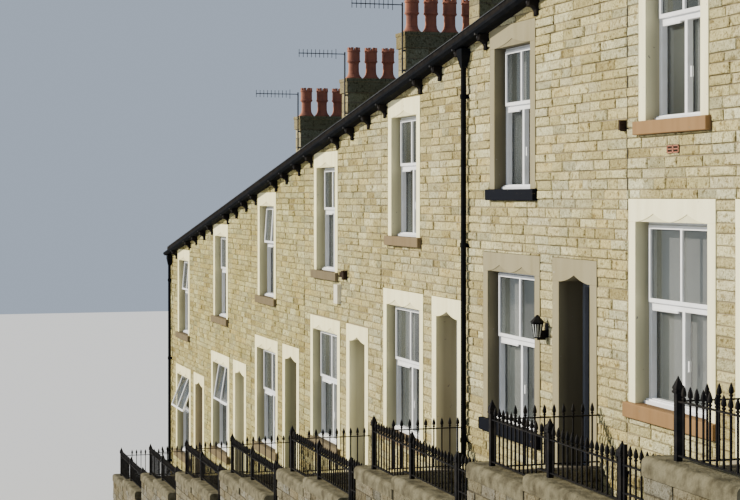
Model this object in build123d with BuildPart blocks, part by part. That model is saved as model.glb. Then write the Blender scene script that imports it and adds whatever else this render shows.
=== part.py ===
from build123d import *
from math import hypot, radians, tan
import os

# A stone terrace of seven two-storey houses that steps down a steep street.
# Every house is level in itself and one step lower than its uphill neighbour.
# Roof, eaves and gutter do not step: they rake past all the houses in one line.
# Millimetres. X runs uphill along the row, -Y faces the street, Z is up.

# The row
HOUSES = 7
PITCH = 4400.0            # party line to party line
STEP = 700.0              # rise from one house to the next
RAKE = STEP / PITCH       # rise of the roof for each unit along the row
DEPTH = 8400.0            # front wall face to rear wall face
WALL = 450.0              # front and rear walls
PARTY = 230.0             # party walls
END_OVERHANG = 270.0      # end wall face beyond the last party line
FIRST_LINTEL = 3700.0     # top of the lowest house's ground-floor lintels, above ground

# Heights in each house are measured from the top of its ground-floor lintels
PROUD = 20.0              # dressed stone stands this far out of the wall face
LINTEL_HEIGHT = 242.0
JAMB = 165.0
GROUND_SILL_TOP = -2180.0
GROUND_SILL_HEIGHT = 160.0
UPPER_SILL_TOP = 820.0
UPPER_SILL_HEIGHT = 143.0
UPPER_HEAD = 2640.0
UPPER_LINTEL_HEIGHT = 270.0
SILL_NOSE = 75.0          # a sill's nose beyond the wall face
SILL_HORN = 45.0          # a sill's nose beyond its jambs
GROUND_OPENING = 1600.0
GROUND_CENTRE = 1495.0    # from the downhill party line
UPPER_OPENING = 1210.0
UPPER_CENTRE = 1545.0
POINT_RISE = 88.0         # pointed relief under the lintels
POINT_MARGIN = 45.0
POINT_SINK = 18.0         # depth of the relief over a window

# Doorways
DOOR_OPENING = 880.0
DOOR_CENTRE = 3480.0
DOOR_JAMB = 190.0
DOOR_LINTEL_HEIGHT = 275.0
THRESHOLD = -2450.0
DOOR_SILL_HEIGHT = 150.0
DOOR_SILL_NOSE = 60.0
DOOR_RECESS = 290.0       # wall face to door frame
DOOR_FRAME_DEPTH = 90.0
DOOR_FRAME = 65.0
DOOR_THICKNESS = 45.0
DOOR_GAP = 5.0
DOOR_FOOT_GAP = 8.0
PANEL_SINK = 8.0
PANEL_STILE = 110.0
HINGE_RADIUS = 8.0
HINGE_HEIGHT = 40.0
HINGE_STANDOFF = 10.0     # pin centre beyond the leaf's inner face
HINGE_PLAY = 0.3

# Windows
WINDOW_RECESS = 140.0     # wall face to window frame
FRAME_DEPTH = 70.0
FRAME_BAR = 60.0
GROUND_TRANSOM_DROP = 890.0   # head of the opening to the transom
UPPER_TRANSOM_DROP = 780.0
SASH_DEPTH = 30.0
SASH_BAR = 45.0
SASH_LAP = 12.0
GLASS = 6.0
GLASS_LAP = 12.0
OPEN_GROUND_LIGHTS = {0: 21.0, 1: 9.0}    # house: degrees
OPEN_UPPER_LIGHTS = {0: 5.0, 2: 3.5}

# Floors
GROUND_FLOOR_THICKNESS = 200.0
UPPER_FLOOR_TOP = 150.0
UPPER_FLOOR_THICKNESS = 250.0

# Roof and eaves
EAVES = 2750.0            # corbel tops at the downhill party line
ROOF_SEAT = 140.0         # roof underside over the corbel tops at the wall face
ROOF_PITCH = 30.0
ROOF_THICKNESS = 130.0    # measured upright
ROOF_OVERHANG = 100.0
RIDGE_WIDTH = 300.0
RIDGE_THICKNESS = 35.0
CORBEL_WIDTH = 100.0
CORBEL_REACH = 140.0
CORBEL_HEIGHT = 200.0
CORBEL_NOSE = 85.0
CORBEL_TIP = 50.0
CORBEL_PLACES = (0.15, 0.54, 0.735, 0.95)  # shares of the house width
GUTTER_BOARD = 50.0
GUTTER_HEIGHT = 75.0
GUTTER_REACH = 205.0
GUTTER_BED = 165.0
GUTTER_SKIN = 6.0

# Downpipes
PIPE_RADIUS = 37.5
PIPE_REACH = 75.0         # pipe centre from the wall face
PIPE_SETBACK = 70.0       # pipe centre downhill of its party line
PIPE_LINES = (0, 5)       # the party lines that carry a pipe
PIPE_FOOT = -2890.0
PIPE_COLLARS = (-2600.0, 40.0, 2050.0)
COLLAR_RADIUS = 48.0
COLLAR_HEIGHT = 60.0
COLLAR_EARS = 150.0
HOPPER_WIDTH = 190.0
HOPPER_DEPTH = 130.0
HOPPER_HEIGHT = 260.0
SHOE_REACH = 130.0
SHOE_DROP = 110.0

# Chimneys
STACK_WIDTH = 540.0
STACK_LENGTH = 1720.0
STACK_TOP = 6000.0        # shaft top over the lintels at the party line
BAND_HEIGHT = 260.0
BAND_REACH = 40.0
CAP_HEIGHT = 80.0
CAP_REACH = 15.0
POTS = 4
POT_SPACING = 430.0
POT_HEIGHT = 750.0
POT_RADIUS = 155.0
POT_WAIST = 125.0
POT_BORE = 100.0
POT_BASE = 195.0

# Front yards: low walls with railings, a gate opposite each door
YARD_DEPTH = 1290.0       # wall face to the line of the street railings
YARD_WALL = 300.0
COPING_WIDTH = 360.0
COPING_HEIGHT = 170.0
COPING_ROUND = 60.0
LOW_COPING_TOP = -2930.0
HIGH_COPING_TOP = -2805.0
LOW_WALL_START = -580.0   # from the downhill party line
LOW_WALL_LENGTH = 1670.0
GATE_WALL_END = 2990.0
GATE_SILL_TOP = -3100.0
DIVIDER_PLACE = -240.0    # railing between two yards
DIVIDER_WALL = 160.0
DIVIDER_WALL_PLACE = -205.0
DIVIDER_TOP = -2990.0
BAR = 16.0
BAR_SPACING = 115.0
RAIL_HEIGHT = 12.0
RAIL_WIDTH = 38.0
DIVIDER_RAIL = -2945.0
TOP_RAIL = -2425.0
BAR_TIP = -2275.0
SPEAR_HEIGHT = 85.0
SPEAR_WIDTH = 30.0
SPEAR_TAPER = 9.5         # degrees
POST = 56.0
POST_TIP = -2205.0
POST_CAP = 110.0
POST_CAP_WIDTH = 73.0
POST_CAP_TAPER = 17.0     # degrees
POST_LINES = 1380.0       # intermediate post of the street railing
GATE_POST = 3058.0
GATE_GAP = 18.0
GATE_LATCH_GAP = 12.0
GATE_FOOT_GAP = 50.0
GATE_STILE = 30.0
GATE_TIP = -2230.0
GATE_MIDDLE_RAIL = -2680.0
PINTLE_RADIUS = 9.0
PINTLE_HEIGHT = 30.0
PINTLE_STANDOFF = 36.0
PINTLE_ARM = 26.0
PINTLE_ROOT = 5.0         # how deep an arm runs into its post or stile

# Wall fittings
LANTERN_PLACE = (2655.0, -880.0)
LANTERN_HOUSE = 5
LANTERN_PLATE = (90.0, 170.0, 14.0)
LANTERN_REACH = 130.0     # wall face to the middle of the lantern
LANTERN_FOOT = 85.0
LANTERN_TOP = 150.0
LANTERN_HEIGHT = 190.0
LANTERN_ROOF = 90.0
LANTERN_ARM = 22.0
ALARM_PLACE = (2400.0, 465.0)
ALARM_HOUSE = 3
ALARM_SIZE = (240.0, 340.0, 80.0)
AIR_BRICK = (265.0, 80.0)
AIR_BRICK_DEPTH = 12.0
AIR_BRICK_PLACES = ((6, 1555.0, 510.0), (3, 2540.0, 800.0))
AERIAL_LINES = (0, 1, 2)
MAST_RADIUS = 18.0
MAST_PLACE = 225.0        # uphill of the party line
MAST_TOP = 6960.0
MAST_LAP = 550.0          # how far the mast runs down beside its stack
MAST_CLAMP = 40.0
BOOM_HEIGHT = 6900.0
BOOM_LENGTH = 1130.0
BOOM_SIDE = 20.0
ELEMENT_SIDE = 12.0
ELEMENT_COUNT = 9
ELEMENT_SPACING = 100.0
ELEMENT_LENGTH = 190.0
REFLECTOR_LENGTH = 240.0

# Places worked out from the sizes
LENGTH = HOUSES * PITCH
EAVES_TILT = tan(radians(ROOF_PITCH))
STREET_REACH = YARD_DEPTH + COPING_WIDTH / 2
LOW_X = -(LENGTH + 2 * LOW_WALL_START + LOW_WALL_LENGTH) / 2
FACADE_Y = (STREET_REACH - DEPTH - GUTTER_REACH) / 2
GROUND = -FIRST_LINTEL
GROUND_HEAD = -LINTEL_HEIGHT
WINDOW_LEFT = GROUND_CENTRE - GROUND_OPENING / 2 - JAMB
WINDOW_RIGHT = GROUND_CENTRE + GROUND_OPENING / 2 + JAMB
UPPER_LEFT = UPPER_CENTRE - UPPER_OPENING / 2 - JAMB
UPPER_RIGHT = UPPER_CENTRE + UPPER_OPENING / 2 + JAMB
DOOR_LEFT = DOOR_CENTRE - DOOR_OPENING / 2 - DOOR_JAMB
DOOR_RIGHT = DOOR_CENTRE + DOOR_OPENING / 2 + DOOR_JAMB
UPPER_SILL_FOOT = UPPER_SILL_TOP - UPPER_SILL_HEIGHT
UPPER_LINTEL_TOP = UPPER_HEAD + UPPER_LINTEL_HEIGHT
DOOR_HEAD = -DOOR_LINTEL_HEIGHT
RAKE_LENGTH = hypot(1, RAKE)
RAKED = (1, 0, RAKE)

# The facade plane: its x runs along the row from the lowest party line, its y is
# the height over the lowest house's lintels, and it looks out to the street
FACADE = Plane((LOW_X, FACADE_Y, FIRST_LINTEL), x_dir=(1, 0, 0), z_dir=(0, -1, 0))
MIDDLE = Plane.XZ.offset(-(FACADE_Y + DEPTH / 2))
homes = [(house * PITCH, house * STEP) for house in range(HOUSES)]
home_places = [Location((x, 0, z)) for x, z in homes]
lines = [(line * PITCH, line * STEP) for line in range(HOUSES + 1)]
line_places = [Location((x, 0, z)) for x, z in lines]


def behind(depth):
    """The plane that lies this far behind the facade."""
    return FACADE.offset(-depth)


def section(place):
    """Upright plane across the row: x runs from the street inwards, y is height."""
    return Plane((LOW_X + place, FACADE_Y, FIRST_LINTEL), x_dir=(0, 1, 0), z_dir=(1, 0, 0))


def level(height):
    """Level plane at a height over the lowest house's lintels."""
    return Plane((LOW_X, FACADE_Y, FIRST_LINTEL + height))


def roof_line(depth):
    """Underside of the front roof slope at a depth behind the wall face."""
    return EAVES + ROOF_SEAT + EAVES_TILT * depth


def panel(left, right, foot, head):
    """A rectangle given by its sides, in the sketch that is open."""
    with Locations(((left + right) / 2, (foot + head) / 2)):
        Rectangle(right - left, head - foot)


def cut_under_roof():
    """Trim the open part to the underside of both roof slopes."""
    front_slope = Plane(
        (LOW_X, FACADE_Y, FIRST_LINTEL + roof_line(0)),
        x_dir=(1, 0, RAKE),
        z_dir=(-RAKE, -EAVES_TILT, 1),
    )
    rear_slope = Plane(
        (LOW_X, FACADE_Y + DEPTH, FIRST_LINTEL + roof_line(0)),
        x_dir=(1, 0, RAKE),
        z_dir=(-RAKE, EAVES_TILT, 1),
    )
    split(bisect_by=front_slope, keep=Keep.BOTTOM)
    split(bisect_by=rear_slope, keep=Keep.BOTTOM)


def save(part, name):
    """Label a finished piece and write it out."""
    part.label = name
    export_step(part, f"parts/{name}.step")


os.makedirs("parts", exist_ok=True)

# Masonry of the front and rear walls. The front half is drawn, the rear mirrors it.
WALL_TALL = roof_line(WALL) + STEP
with BuildPart() as party_piers:
    with BuildSketch(FACADE):
        for line, (x, z) in enumerate(lines):
            left = x - (PITCH - DOOR_RIGHT if line else END_OVERHANG)
            right = x + (WINDOW_LEFT if line < HOUSES else END_OVERHANG)
            panel(left, right, GROUND, z + WALL_TALL)
    extrude(amount=-WALL)
    cut_under_roof()
    mirror(about=MIDDLE)
save(party_piers.part, "party_piers")

with BuildPart() as window_piers:
    with BuildSketch(FACADE):
        for x, z in homes:
            panel(x + WINDOW_RIGHT, x + DOOR_LEFT, GROUND, z)
    extrude(amount=-WALL)
    mirror(about=MIDDLE)
save(window_piers.part, "window_piers")

with BuildPart() as window_aprons:
    with BuildSketch(FACADE):
        for x, z in homes:
            panel(x + WINDOW_LEFT, x + WINDOW_RIGHT, GROUND, z + GROUND_SILL_TOP - GROUND_SILL_HEIGHT)
    extrude(amount=-WALL)
    mirror(about=MIDDLE)
save(window_aprons.part, "window_aprons")

with BuildPart() as door_bases:
    with BuildSketch(FACADE):
        for x, z in homes:
            panel(x + DOOR_LEFT, x + DOOR_RIGHT, GROUND, z + THRESHOLD - DOOR_SILL_HEIGHT)
    extrude(amount=-WALL)
    mirror(about=MIDDLE)
save(door_bases.part, "door_bases")

with BuildPart() as storey_walls:
    with BuildSketch(FACADE):
        with Locations(*homes):
            panel(WINDOW_LEFT, DOOR_RIGHT, 0, UPPER_SILL_FOOT)
    extrude(amount=-WALL)
    mirror(about=MIDDLE)
save(storey_walls.part, "storey_walls")

with BuildPart() as upper_piers:
    with BuildSketch(FACADE):
        with Locations(*homes):
            panel(WINDOW_LEFT, UPPER_LEFT, UPPER_SILL_FOOT, WALL_TALL)
            panel(UPPER_RIGHT, DOOR_RIGHT, UPPER_SILL_FOOT, WALL_TALL)
    extrude(amount=-WALL)
    cut_under_roof()
    mirror(about=MIDDLE)
save(upper_piers.part, "upper_piers")

with BuildPart() as wall_heads:
    with BuildSketch(FACADE):
        with Locations(*homes):
            panel(UPPER_LEFT, UPPER_RIGHT, UPPER_LINTEL_TOP, WALL_TALL)
    extrude(amount=-WALL)
    cut_under_roof()
    mirror(about=MIDDLE)
save(wall_heads.part, "wall_heads")

# Walls across the row, up to the roof
with BuildPart() as party_walls:
    for x, z in lines[1:-1]:
        with BuildSketch(section(x - PARTY / 2)):
            panel(WALL, DEPTH - WALL, GROUND, z + roof_line(DEPTH / 2))
        extrude(amount=PARTY)
    cut_under_roof()
save(party_walls.part, "party_walls")

with BuildPart() as end_walls:
    END_THICKNESS = END_OVERHANG + PARTY / 2
    for start, z in ((-END_OVERHANG, 0), (LENGTH - PARTY / 2, HOUSES * STEP)):
        with BuildSketch(section(start)):
            panel(WALL, DEPTH - WALL, GROUND, z + STEP + roof_line(DEPTH / 2))
        extrude(amount=END_THICKNESS)
    cut_under_roof()
save(end_walls.part, "end_walls")

# Floors
with BuildPart() as ground_floors:
    with BuildSketch(behind(WALL)):
        with Locations(*homes):
            panel(PARTY / 2, PITCH - PARTY / 2, THRESHOLD - GROUND_FLOOR_THICKNESS, THRESHOLD)
    extrude(amount=-(DEPTH - 2 * WALL))
save(ground_floors.part, "ground_floors")

with BuildPart() as upper_floors:
    with BuildSketch(behind(WALL)):
        with Locations(*homes):
            panel(PARTY / 2, PITCH - PARTY / 2, UPPER_FLOOR_TOP - UPPER_FLOOR_THICKNESS, UPPER_FLOOR_TOP)
    extrude(amount=-(DEPTH - 2 * WALL))
save(upper_floors.part, "upper_floors")


def points_relief(left, right, foot, count):
    """Pointed arches side by side along the lower edge of a lintel."""
    width = (right - left) / count
    for number in range(count):
        start = left + number * width
        with BuildLine() as arch:
            rise_left = SagittaArc((start, foot), (start + width / 2, foot + POINT_RISE), -POINT_RISE / 6)
            rise_right = SagittaArc(rise_left @ 1, (start + width, foot), -POINT_RISE / 6)
            Line(rise_right @ 1, rise_left @ 0)
        make_face(arch.edges())


def dressed_sill(centre, opening, jamb, top, height, nose, horn):
    """A sill stone: the bed under the jambs and the nose in front of the wall."""
    with BuildSketch(level(top - height)) as outline:
        panel(centre - opening / 2 - jamb, centre + opening / 2 + jamb, 0, WALL)
        panel(centre - opening / 2 - jamb - horn, centre + opening / 2 + jamb + horn, -nose, 0)
    extrude(outline.sketch, amount=height)


# Dressed stone round the windows
with BuildPart() as window_jambs:
    with BuildSketch(FACADE.offset(PROUD)):
        with Locations(*homes):
            for side in (-1, 1):
                ground_jamb = GROUND_CENTRE + side * (GROUND_OPENING + JAMB) / 2
                upper_jamb = UPPER_CENTRE + side * (UPPER_OPENING + JAMB) / 2
                panel(ground_jamb - JAMB / 2, ground_jamb + JAMB / 2, GROUND_SILL_TOP, GROUND_HEAD)
                panel(upper_jamb - JAMB / 2, upper_jamb + JAMB / 2, UPPER_SILL_TOP, UPPER_HEAD)
    extrude(amount=-(WALL + PROUD))
    mirror(about=MIDDLE)
save(window_jambs.part, "window_jambs")

with BuildPart() as window_lintel_pair:
    with BuildSketch(FACADE.offset(PROUD)):
        panel(WINDOW_LEFT, WINDOW_RIGHT, GROUND_HEAD, 0)
        panel(UPPER_LEFT, UPPER_RIGHT, UPPER_HEAD, UPPER_LINTEL_TOP)
    extrude(amount=-(WALL + PROUD))
    with BuildSketch(FACADE.offset(PROUD)):
        points_relief(
            WINDOW_LEFT + JAMB + POINT_MARGIN, WINDOW_RIGHT - JAMB - POINT_MARGIN, GROUND_HEAD, 2
        )
        points_relief(UPPER_LEFT + JAMB + POINT_MARGIN, UPPER_RIGHT - JAMB - POINT_MARGIN, UPPER_HEAD, 1)
    extrude(amount=-POINT_SINK, mode=Mode.SUBTRACT)

with BuildPart() as window_lintels:
    with Locations(*home_places):
        add(window_lintel_pair.part)
    mirror(about=MIDDLE)
save(window_lintels.part, "window_lintels")

with BuildPart() as window_sill_pair:
    dressed_sill(
        GROUND_CENTRE, GROUND_OPENING, JAMB, GROUND_SILL_TOP, GROUND_SILL_HEIGHT, SILL_NOSE, SILL_HORN
    )
    dressed_sill(UPPER_CENTRE, UPPER_OPENING, JAMB, UPPER_SILL_TOP, UPPER_SILL_HEIGHT, SILL_NOSE, SILL_HORN)

with BuildPart() as window_sills:
    with Locations(*home_places):
        add(window_sill_pair.part)
    mirror(about=MIDDLE)
save(window_sills.part, "window_sills")

# Dressed stone round the doors
with BuildPart() as door_jambs:
    with BuildSketch(FACADE.offset(PROUD)):
        with Locations(*homes):
            panel(DOOR_LEFT, DOOR_LEFT + DOOR_JAMB, THRESHOLD, DOOR_HEAD)
            panel(DOOR_RIGHT - DOOR_JAMB, DOOR_RIGHT, THRESHOLD, DOOR_HEAD)
    extrude(amount=-(WALL + PROUD))
    mirror(about=MIDDLE)
save(door_jambs.part, "door_jambs")

with BuildPart() as door_lintel:
    with BuildSketch(FACADE.offset(PROUD)):
        panel(DOOR_LEFT, DOOR_RIGHT, DOOR_HEAD, 0)
    extrude(amount=-(WALL + PROUD))
    with BuildSketch(FACADE.offset(PROUD)):
        points_relief(
            DOOR_LEFT + DOOR_JAMB + POINT_MARGIN, DOOR_RIGHT - DOOR_JAMB - POINT_MARGIN, DOOR_HEAD, 1
        )
    extrude(amount=-(DOOR_RECESS + PROUD), mode=Mode.SUBTRACT)

with BuildPart() as door_lintels:
    with Locations(*home_places):
        add(door_lintel.part)
    mirror(about=MIDDLE)
save(door_lintels.part, "door_lintels")

with BuildPart() as door_sill:
    dressed_sill(DOOR_CENTRE, DOOR_OPENING, DOOR_JAMB, THRESHOLD, DOOR_SILL_HEIGHT, DOOR_SILL_NOSE, 0)

with BuildPart() as door_sills:
    with Locations(*home_places):
        add(door_sill.part)
    mirror(about=MIDDLE)
save(door_sills.part, "door_sills")


def window_sizes(storey):
    """Left, right, foot, head and transom height of a storey's window opening."""
    if storey == "ground":
        left, right = WINDOW_LEFT + JAMB, WINDOW_RIGHT - JAMB
        return left, right, GROUND_SILL_TOP, GROUND_HEAD, GROUND_HEAD - GROUND_TRANSOM_DROP
    left, right = UPPER_LEFT + JAMB, UPPER_RIGHT - JAMB
    return left, right, UPPER_SILL_TOP, UPPER_HEAD, UPPER_HEAD - UPPER_TRANSOM_DROP


# Window frames: two tall lights under a transom, one wide light over it
with BuildPart() as window_frames:
    with BuildSketch(behind(WINDOW_RECESS)):
        for storey in ("ground", "upper"):
            left, right, foot, head, transom = window_sizes(storey)
            middle = (left + right) / 2
            with Locations(*homes):
                panel(left, right, foot, head)
            with Locations(*homes):
                with Locations((middle, (transom + head) / 2)):
                    Rectangle(
                        right - left - 2 * FRAME_BAR,
                        head - transom - 1.5 * FRAME_BAR,
                        mode=Mode.SUBTRACT,
                    )
                light = (right - left - 3 * FRAME_BAR) / 2
                with Locations(
                    (middle - (light + FRAME_BAR) / 2, (foot + transom) / 2 + FRAME_BAR / 4),
                    (middle + (light + FRAME_BAR) / 2, (foot + transom) / 2 + FRAME_BAR / 4),
                ):
                    Rectangle(light, transom - foot - 1.5 * FRAME_BAR, mode=Mode.SUBTRACT)
    extrude(amount=-FRAME_DEPTH)
    mirror(about=MIDDLE)
save(window_frames.part, "window_frames")


def top_light(storey):
    """A top-hung light with a middle bar, closed on the face of its frame."""
    left, right, foot, head, transom = window_sizes(storey)
    width = right - left - 2 * (FRAME_BAR - SASH_LAP)
    height = head - transom - 1.5 * FRAME_BAR + 2 * SASH_LAP
    centre = ((left + right) / 2, (transom + head) / 2)
    light = (width - 3 * SASH_BAR) / 2
    with BuildPart() as sash:
        with BuildSketch(behind(WINDOW_RECESS)):
            with Locations(centre):
                Rectangle(width, height)
                with GridLocations(light + SASH_BAR, 0, 2, 1):
                    Rectangle(light, height - 2 * SASH_BAR, mode=Mode.SUBTRACT)
        extrude(amount=SASH_DEPTH)
    with BuildPart() as pane:
        with BuildSketch(behind(WINDOW_RECESS)):
            with Locations(centre):
                Rectangle(width - 2 * SASH_LAP - 2 * GLASS_LAP, height - 2 * SASH_LAP - 2 * GLASS_LAP)
        extrude(amount=-GLASS)
    hinge = Axis(
        (LOW_X, FACADE_Y + WINDOW_RECESS, FIRST_LINTEL + centre[1] + height / 2), (1, 0, 0)
    )
    return sash.part, pane.part, hinge


ground_sash, ground_pane, ground_hinge = top_light("ground")
upper_sash, upper_pane, upper_hinge = top_light("upper")

with BuildPart() as top_lights:
    for house, place in enumerate(home_places):
        ground_angle = OPEN_GROUND_LIGHTS.get(house, 0)
        upper_angle = OPEN_UPPER_LIGHTS.get(house, 0)
        with Locations(place):
            add(ground_sash.rotate(ground_hinge, -ground_angle))
            add(upper_sash.rotate(upper_hinge, -upper_angle))
with BuildPart() as rear_top_lights:
    with Locations(*home_places):
        add(ground_sash)
        add(upper_sash)
with BuildPart() as all_top_lights:
    add(top_lights.part)
    mirror(rear_top_lights.part, about=MIDDLE)
save(all_top_lights.part, "top_lights")

# Glass: one sheet in each top light, one sheet behind the two lower lights
with BuildPart() as front_glass:
    for storey in ("ground", "upper"):
        left, right, foot, head, transom = window_sizes(storey)
        low_edge = foot + FRAME_BAR - GLASS_LAP
        high_edge = transom - FRAME_BAR / 2 + GLASS_LAP
        with BuildSketch(behind(WINDOW_RECESS + FRAME_DEPTH)):
            with Locations(*homes):
                panel(left + FRAME_BAR - GLASS_LAP, right - FRAME_BAR + GLASS_LAP, low_edge, high_edge)
        extrude(amount=-GLASS)
with BuildPart() as window_glass:
    add(front_glass.part)
    mirror(front_glass.part, about=MIDDLE)
    for house, place in enumerate(home_places):
        ground_angle = OPEN_GROUND_LIGHTS.get(house, 0)
        upper_angle = OPEN_UPPER_LIGHTS.get(house, 0)
        with Locations(place):
            add(ground_pane.rotate(ground_hinge, -ground_angle))
            add(upper_pane.rotate(upper_hinge, -upper_angle))
    with Locations(*home_places):
        for pane in (ground_pane, upper_pane):
            add(pane.mirror(MIDDLE))
save(window_glass.part, "window_glass")

# Door frames
FRAME_LEFT = DOOR_CENTRE - DOOR_OPENING / 2
FRAME_RIGHT = DOOR_CENTRE + DOOR_OPENING / 2
LEAF_LEFT = FRAME_LEFT + DOOR_FRAME + DOOR_GAP
LEAF_RIGHT = FRAME_RIGHT - DOOR_FRAME - DOOR_GAP
LEAF_FOOT = THRESHOLD + DOOR_FOOT_GAP
LEAF_TOP = DOOR_HEAD - DOOR_FRAME - DOOR_GAP
LEAF_BACK = DOOR_RECESS + DOOR_FRAME_DEPTH
HINGE_X = LEAF_LEFT - DOOR_GAP / 2
HINGE_Y = LEAF_BACK + HINGE_STANDOFF
HINGE_HEIGHTS = (LEAF_FOOT + 250.0, LEAF_TOP - 250.0)


def knuckles(side, first):
    """Hinge knuckles of one door, on the post (-1) or on the leaf (1)."""
    for height in HINGE_HEIGHTS:
        with BuildSketch(level(height + first)) as knuckle:
            with Locations((HINGE_X, HINGE_Y)):
                Circle(HINGE_RADIUS)
            with Locations((HINGE_X + side * 1.5 * HINGE_RADIUS, LEAF_BACK + HINGE_RADIUS / 2)):
                Rectangle(3 * HINGE_RADIUS, 2.5 * HINGE_RADIUS)
        extrude(knuckle.sketch, amount=HINGE_HEIGHT)


with BuildPart() as post_pair:
    with BuildSketch(behind(DOOR_RECESS)):
        panel(FRAME_LEFT, FRAME_LEFT + DOOR_FRAME, THRESHOLD, DOOR_HEAD - DOOR_FRAME)
        panel(FRAME_RIGHT - DOOR_FRAME, FRAME_RIGHT, THRESHOLD, DOOR_HEAD - DOOR_FRAME)
    extrude(amount=-DOOR_FRAME_DEPTH)

with BuildPart() as hung_post_pair:
    add(post_pair.part)
    knuckles(-1, 0)

with BuildPart() as door_posts:
    with Locations(*home_places):
        add(hung_post_pair.part)
        add(post_pair.part.mirror(MIDDLE))
save(door_posts.part, "door_posts")

with BuildPart() as door_heads:
    with BuildSketch(behind(DOOR_RECESS)):
        with Locations(*homes):
            panel(FRAME_LEFT, FRAME_RIGHT, DOOR_HEAD - DOOR_FRAME, DOOR_HEAD)
    extrude(amount=-DOOR_FRAME_DEPTH)
    mirror(about=MIDDLE)
save(door_heads.part, "door_heads")


def door_leaf():
    """A panelled leaf, flush with the back of its frame."""
    width = LEAF_RIGHT - LEAF_LEFT
    height = LEAF_TOP - LEAF_FOOT
    panel_width = (width - 3 * PANEL_STILE) / 2
    panel_height = (height - 4 * PANEL_STILE) / 3
    with BuildSketch(behind(LEAF_BACK - DOOR_THICKNESS)) as board:
        panel(LEAF_LEFT, LEAF_RIGHT, LEAF_FOOT, LEAF_TOP)
    extrude(board.sketch, amount=-DOOR_THICKNESS)
    with BuildSketch(behind(LEAF_BACK - DOOR_THICKNESS)) as panels:
        with Locations(((LEAF_LEFT + LEAF_RIGHT) / 2, (LEAF_FOOT + LEAF_TOP) / 2)):
            with GridLocations(panel_width + PANEL_STILE, panel_height + PANEL_STILE, 2, 3):
                Rectangle(panel_width, panel_height)
    extrude(panels.sketch, amount=-PANEL_SINK, mode=Mode.SUBTRACT)


with BuildPart() as plain_leaf:
    door_leaf()

with BuildPart() as hung_leaf:
    door_leaf()
    knuckles(1, HINGE_HEIGHT + HINGE_PLAY)

for house, place in enumerate(home_places):
    with BuildPart() as front_door:
        with Locations(place):
            add(hung_leaf.part)
    save(front_door.part, f"front_door_{house + 1}")

# The closed rear doors reach from post to post
with BuildPart() as rear_doors:
    with BuildSketch(behind(LEAF_BACK - DOOR_THICKNESS)):
        with Locations(*homes):
            panel(FRAME_LEFT + DOOR_FRAME, FRAME_RIGHT - DOOR_FRAME, THRESHOLD, DOOR_HEAD - DOOR_FRAME)
    extrude(amount=-DOOR_THICKNESS)
    mirror(about=MIDDLE, mode=Mode.REPLACE)
save(rear_doors.part, "rear_doors")

# Roof: two raked slabs that lean on each other at the ridge
ROOF_RUN = (LENGTH + 2 * END_OVERHANG) * RAKE_LENGTH
ROOF_DROP = -END_OVERHANG * RAKE
with BuildPart() as front_roof_slope:
    with BuildSketch(section(-END_OVERHANG)):
        with Locations((0, ROOF_DROP)):
            Polygon(
                (-ROOF_OVERHANG, roof_line(-ROOF_OVERHANG)),
                (DEPTH / 2, roof_line(DEPTH / 2)),
                (DEPTH / 2, roof_line(DEPTH / 2) + ROOF_THICKNESS),
                (-ROOF_OVERHANG, roof_line(-ROOF_OVERHANG) + ROOF_THICKNESS),
                align=None,
            )
    extrude(amount=ROOF_RUN, dir=RAKED)
save(front_roof_slope.part, "front_roof_slope")

with BuildPart() as rear_roof_slope:
    mirror(front_roof_slope.part, about=MIDDLE)
save(rear_roof_slope.part, "rear_roof_slope")


def roof_top(depth):
    """Upper face of the front roof slope at a depth behind the wall face."""
    return roof_line(depth) + ROOF_THICKNESS


# Chimneys stand on the roof over the party walls and straddle the ridge
STACK_FRONT = (DEPTH - STACK_LENGTH) / 2
with BuildPart() as stack:
    with BuildSketch(section(-STACK_WIDTH / 2)):
        with Locations((0, -STACK_WIDTH / 2 * RAKE)):
            Polygon(
                (STACK_FRONT, roof_top(STACK_FRONT)),
                (DEPTH / 2, roof_top(DEPTH / 2)),
                (DEPTH - STACK_FRONT, roof_top(STACK_FRONT)),
                (DEPTH - STACK_FRONT, STACK_TOP + STEP),
                (STACK_FRONT, STACK_TOP + STEP),
                align=None,
            )
    extrude(amount=STACK_WIDTH * RAKE_LENGTH, dir=RAKED)
    split(bisect_by=level(STACK_TOP), keep=Keep.BOTTOM)

with BuildPart() as chimney_stacks:
    with Locations(*line_places):
        add(stack.part)
save(chimney_stacks.part, "chimney_stacks")

with BuildPart() as cap:
    with BuildSketch(level(STACK_TOP)):
        with Locations((0, DEPTH / 2)):
            Rectangle(STACK_WIDTH + 2 * BAND_REACH, STACK_LENGTH + 2 * BAND_REACH)
    extrude(amount=BAND_HEIGHT)
    with BuildSketch(level(STACK_TOP + BAND_HEIGHT)):
        with Locations((0, DEPTH / 2)):
            Rectangle(
                STACK_WIDTH + 2 * (BAND_REACH + CAP_REACH), STACK_LENGTH + 2 * (BAND_REACH + CAP_REACH)
            )
    extrude(amount=CAP_HEIGHT)

with BuildPart() as chimney_caps:
    with Locations(*line_places):
        add(cap.part)
save(chimney_caps.part, "chimney_caps")

POT_SEAT = STACK_TOP + BAND_HEIGHT + CAP_HEIGHT
with BuildPart() as pot:
    with BuildSketch(section(0)):
        with BuildLine():
            Polyline(
                (POT_BORE, 0),
                (POT_BASE, 0),
                (POT_BASE, 0.04 * POT_HEIGHT),
                (POT_WAIST, 0.2 * POT_HEIGHT),
                (POT_WAIST, 0.5 * POT_HEIGHT),
                (POT_RADIUS, 0.56 * POT_HEIGHT),
                (POT_RADIUS, POT_HEIGHT),
                (POT_BORE, POT_HEIGHT),
                close=True,
            )
        make_face()
    revolve(axis=Axis((LOW_X, FACADE_Y, FIRST_LINTEL), (0, 0, 1)))

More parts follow.
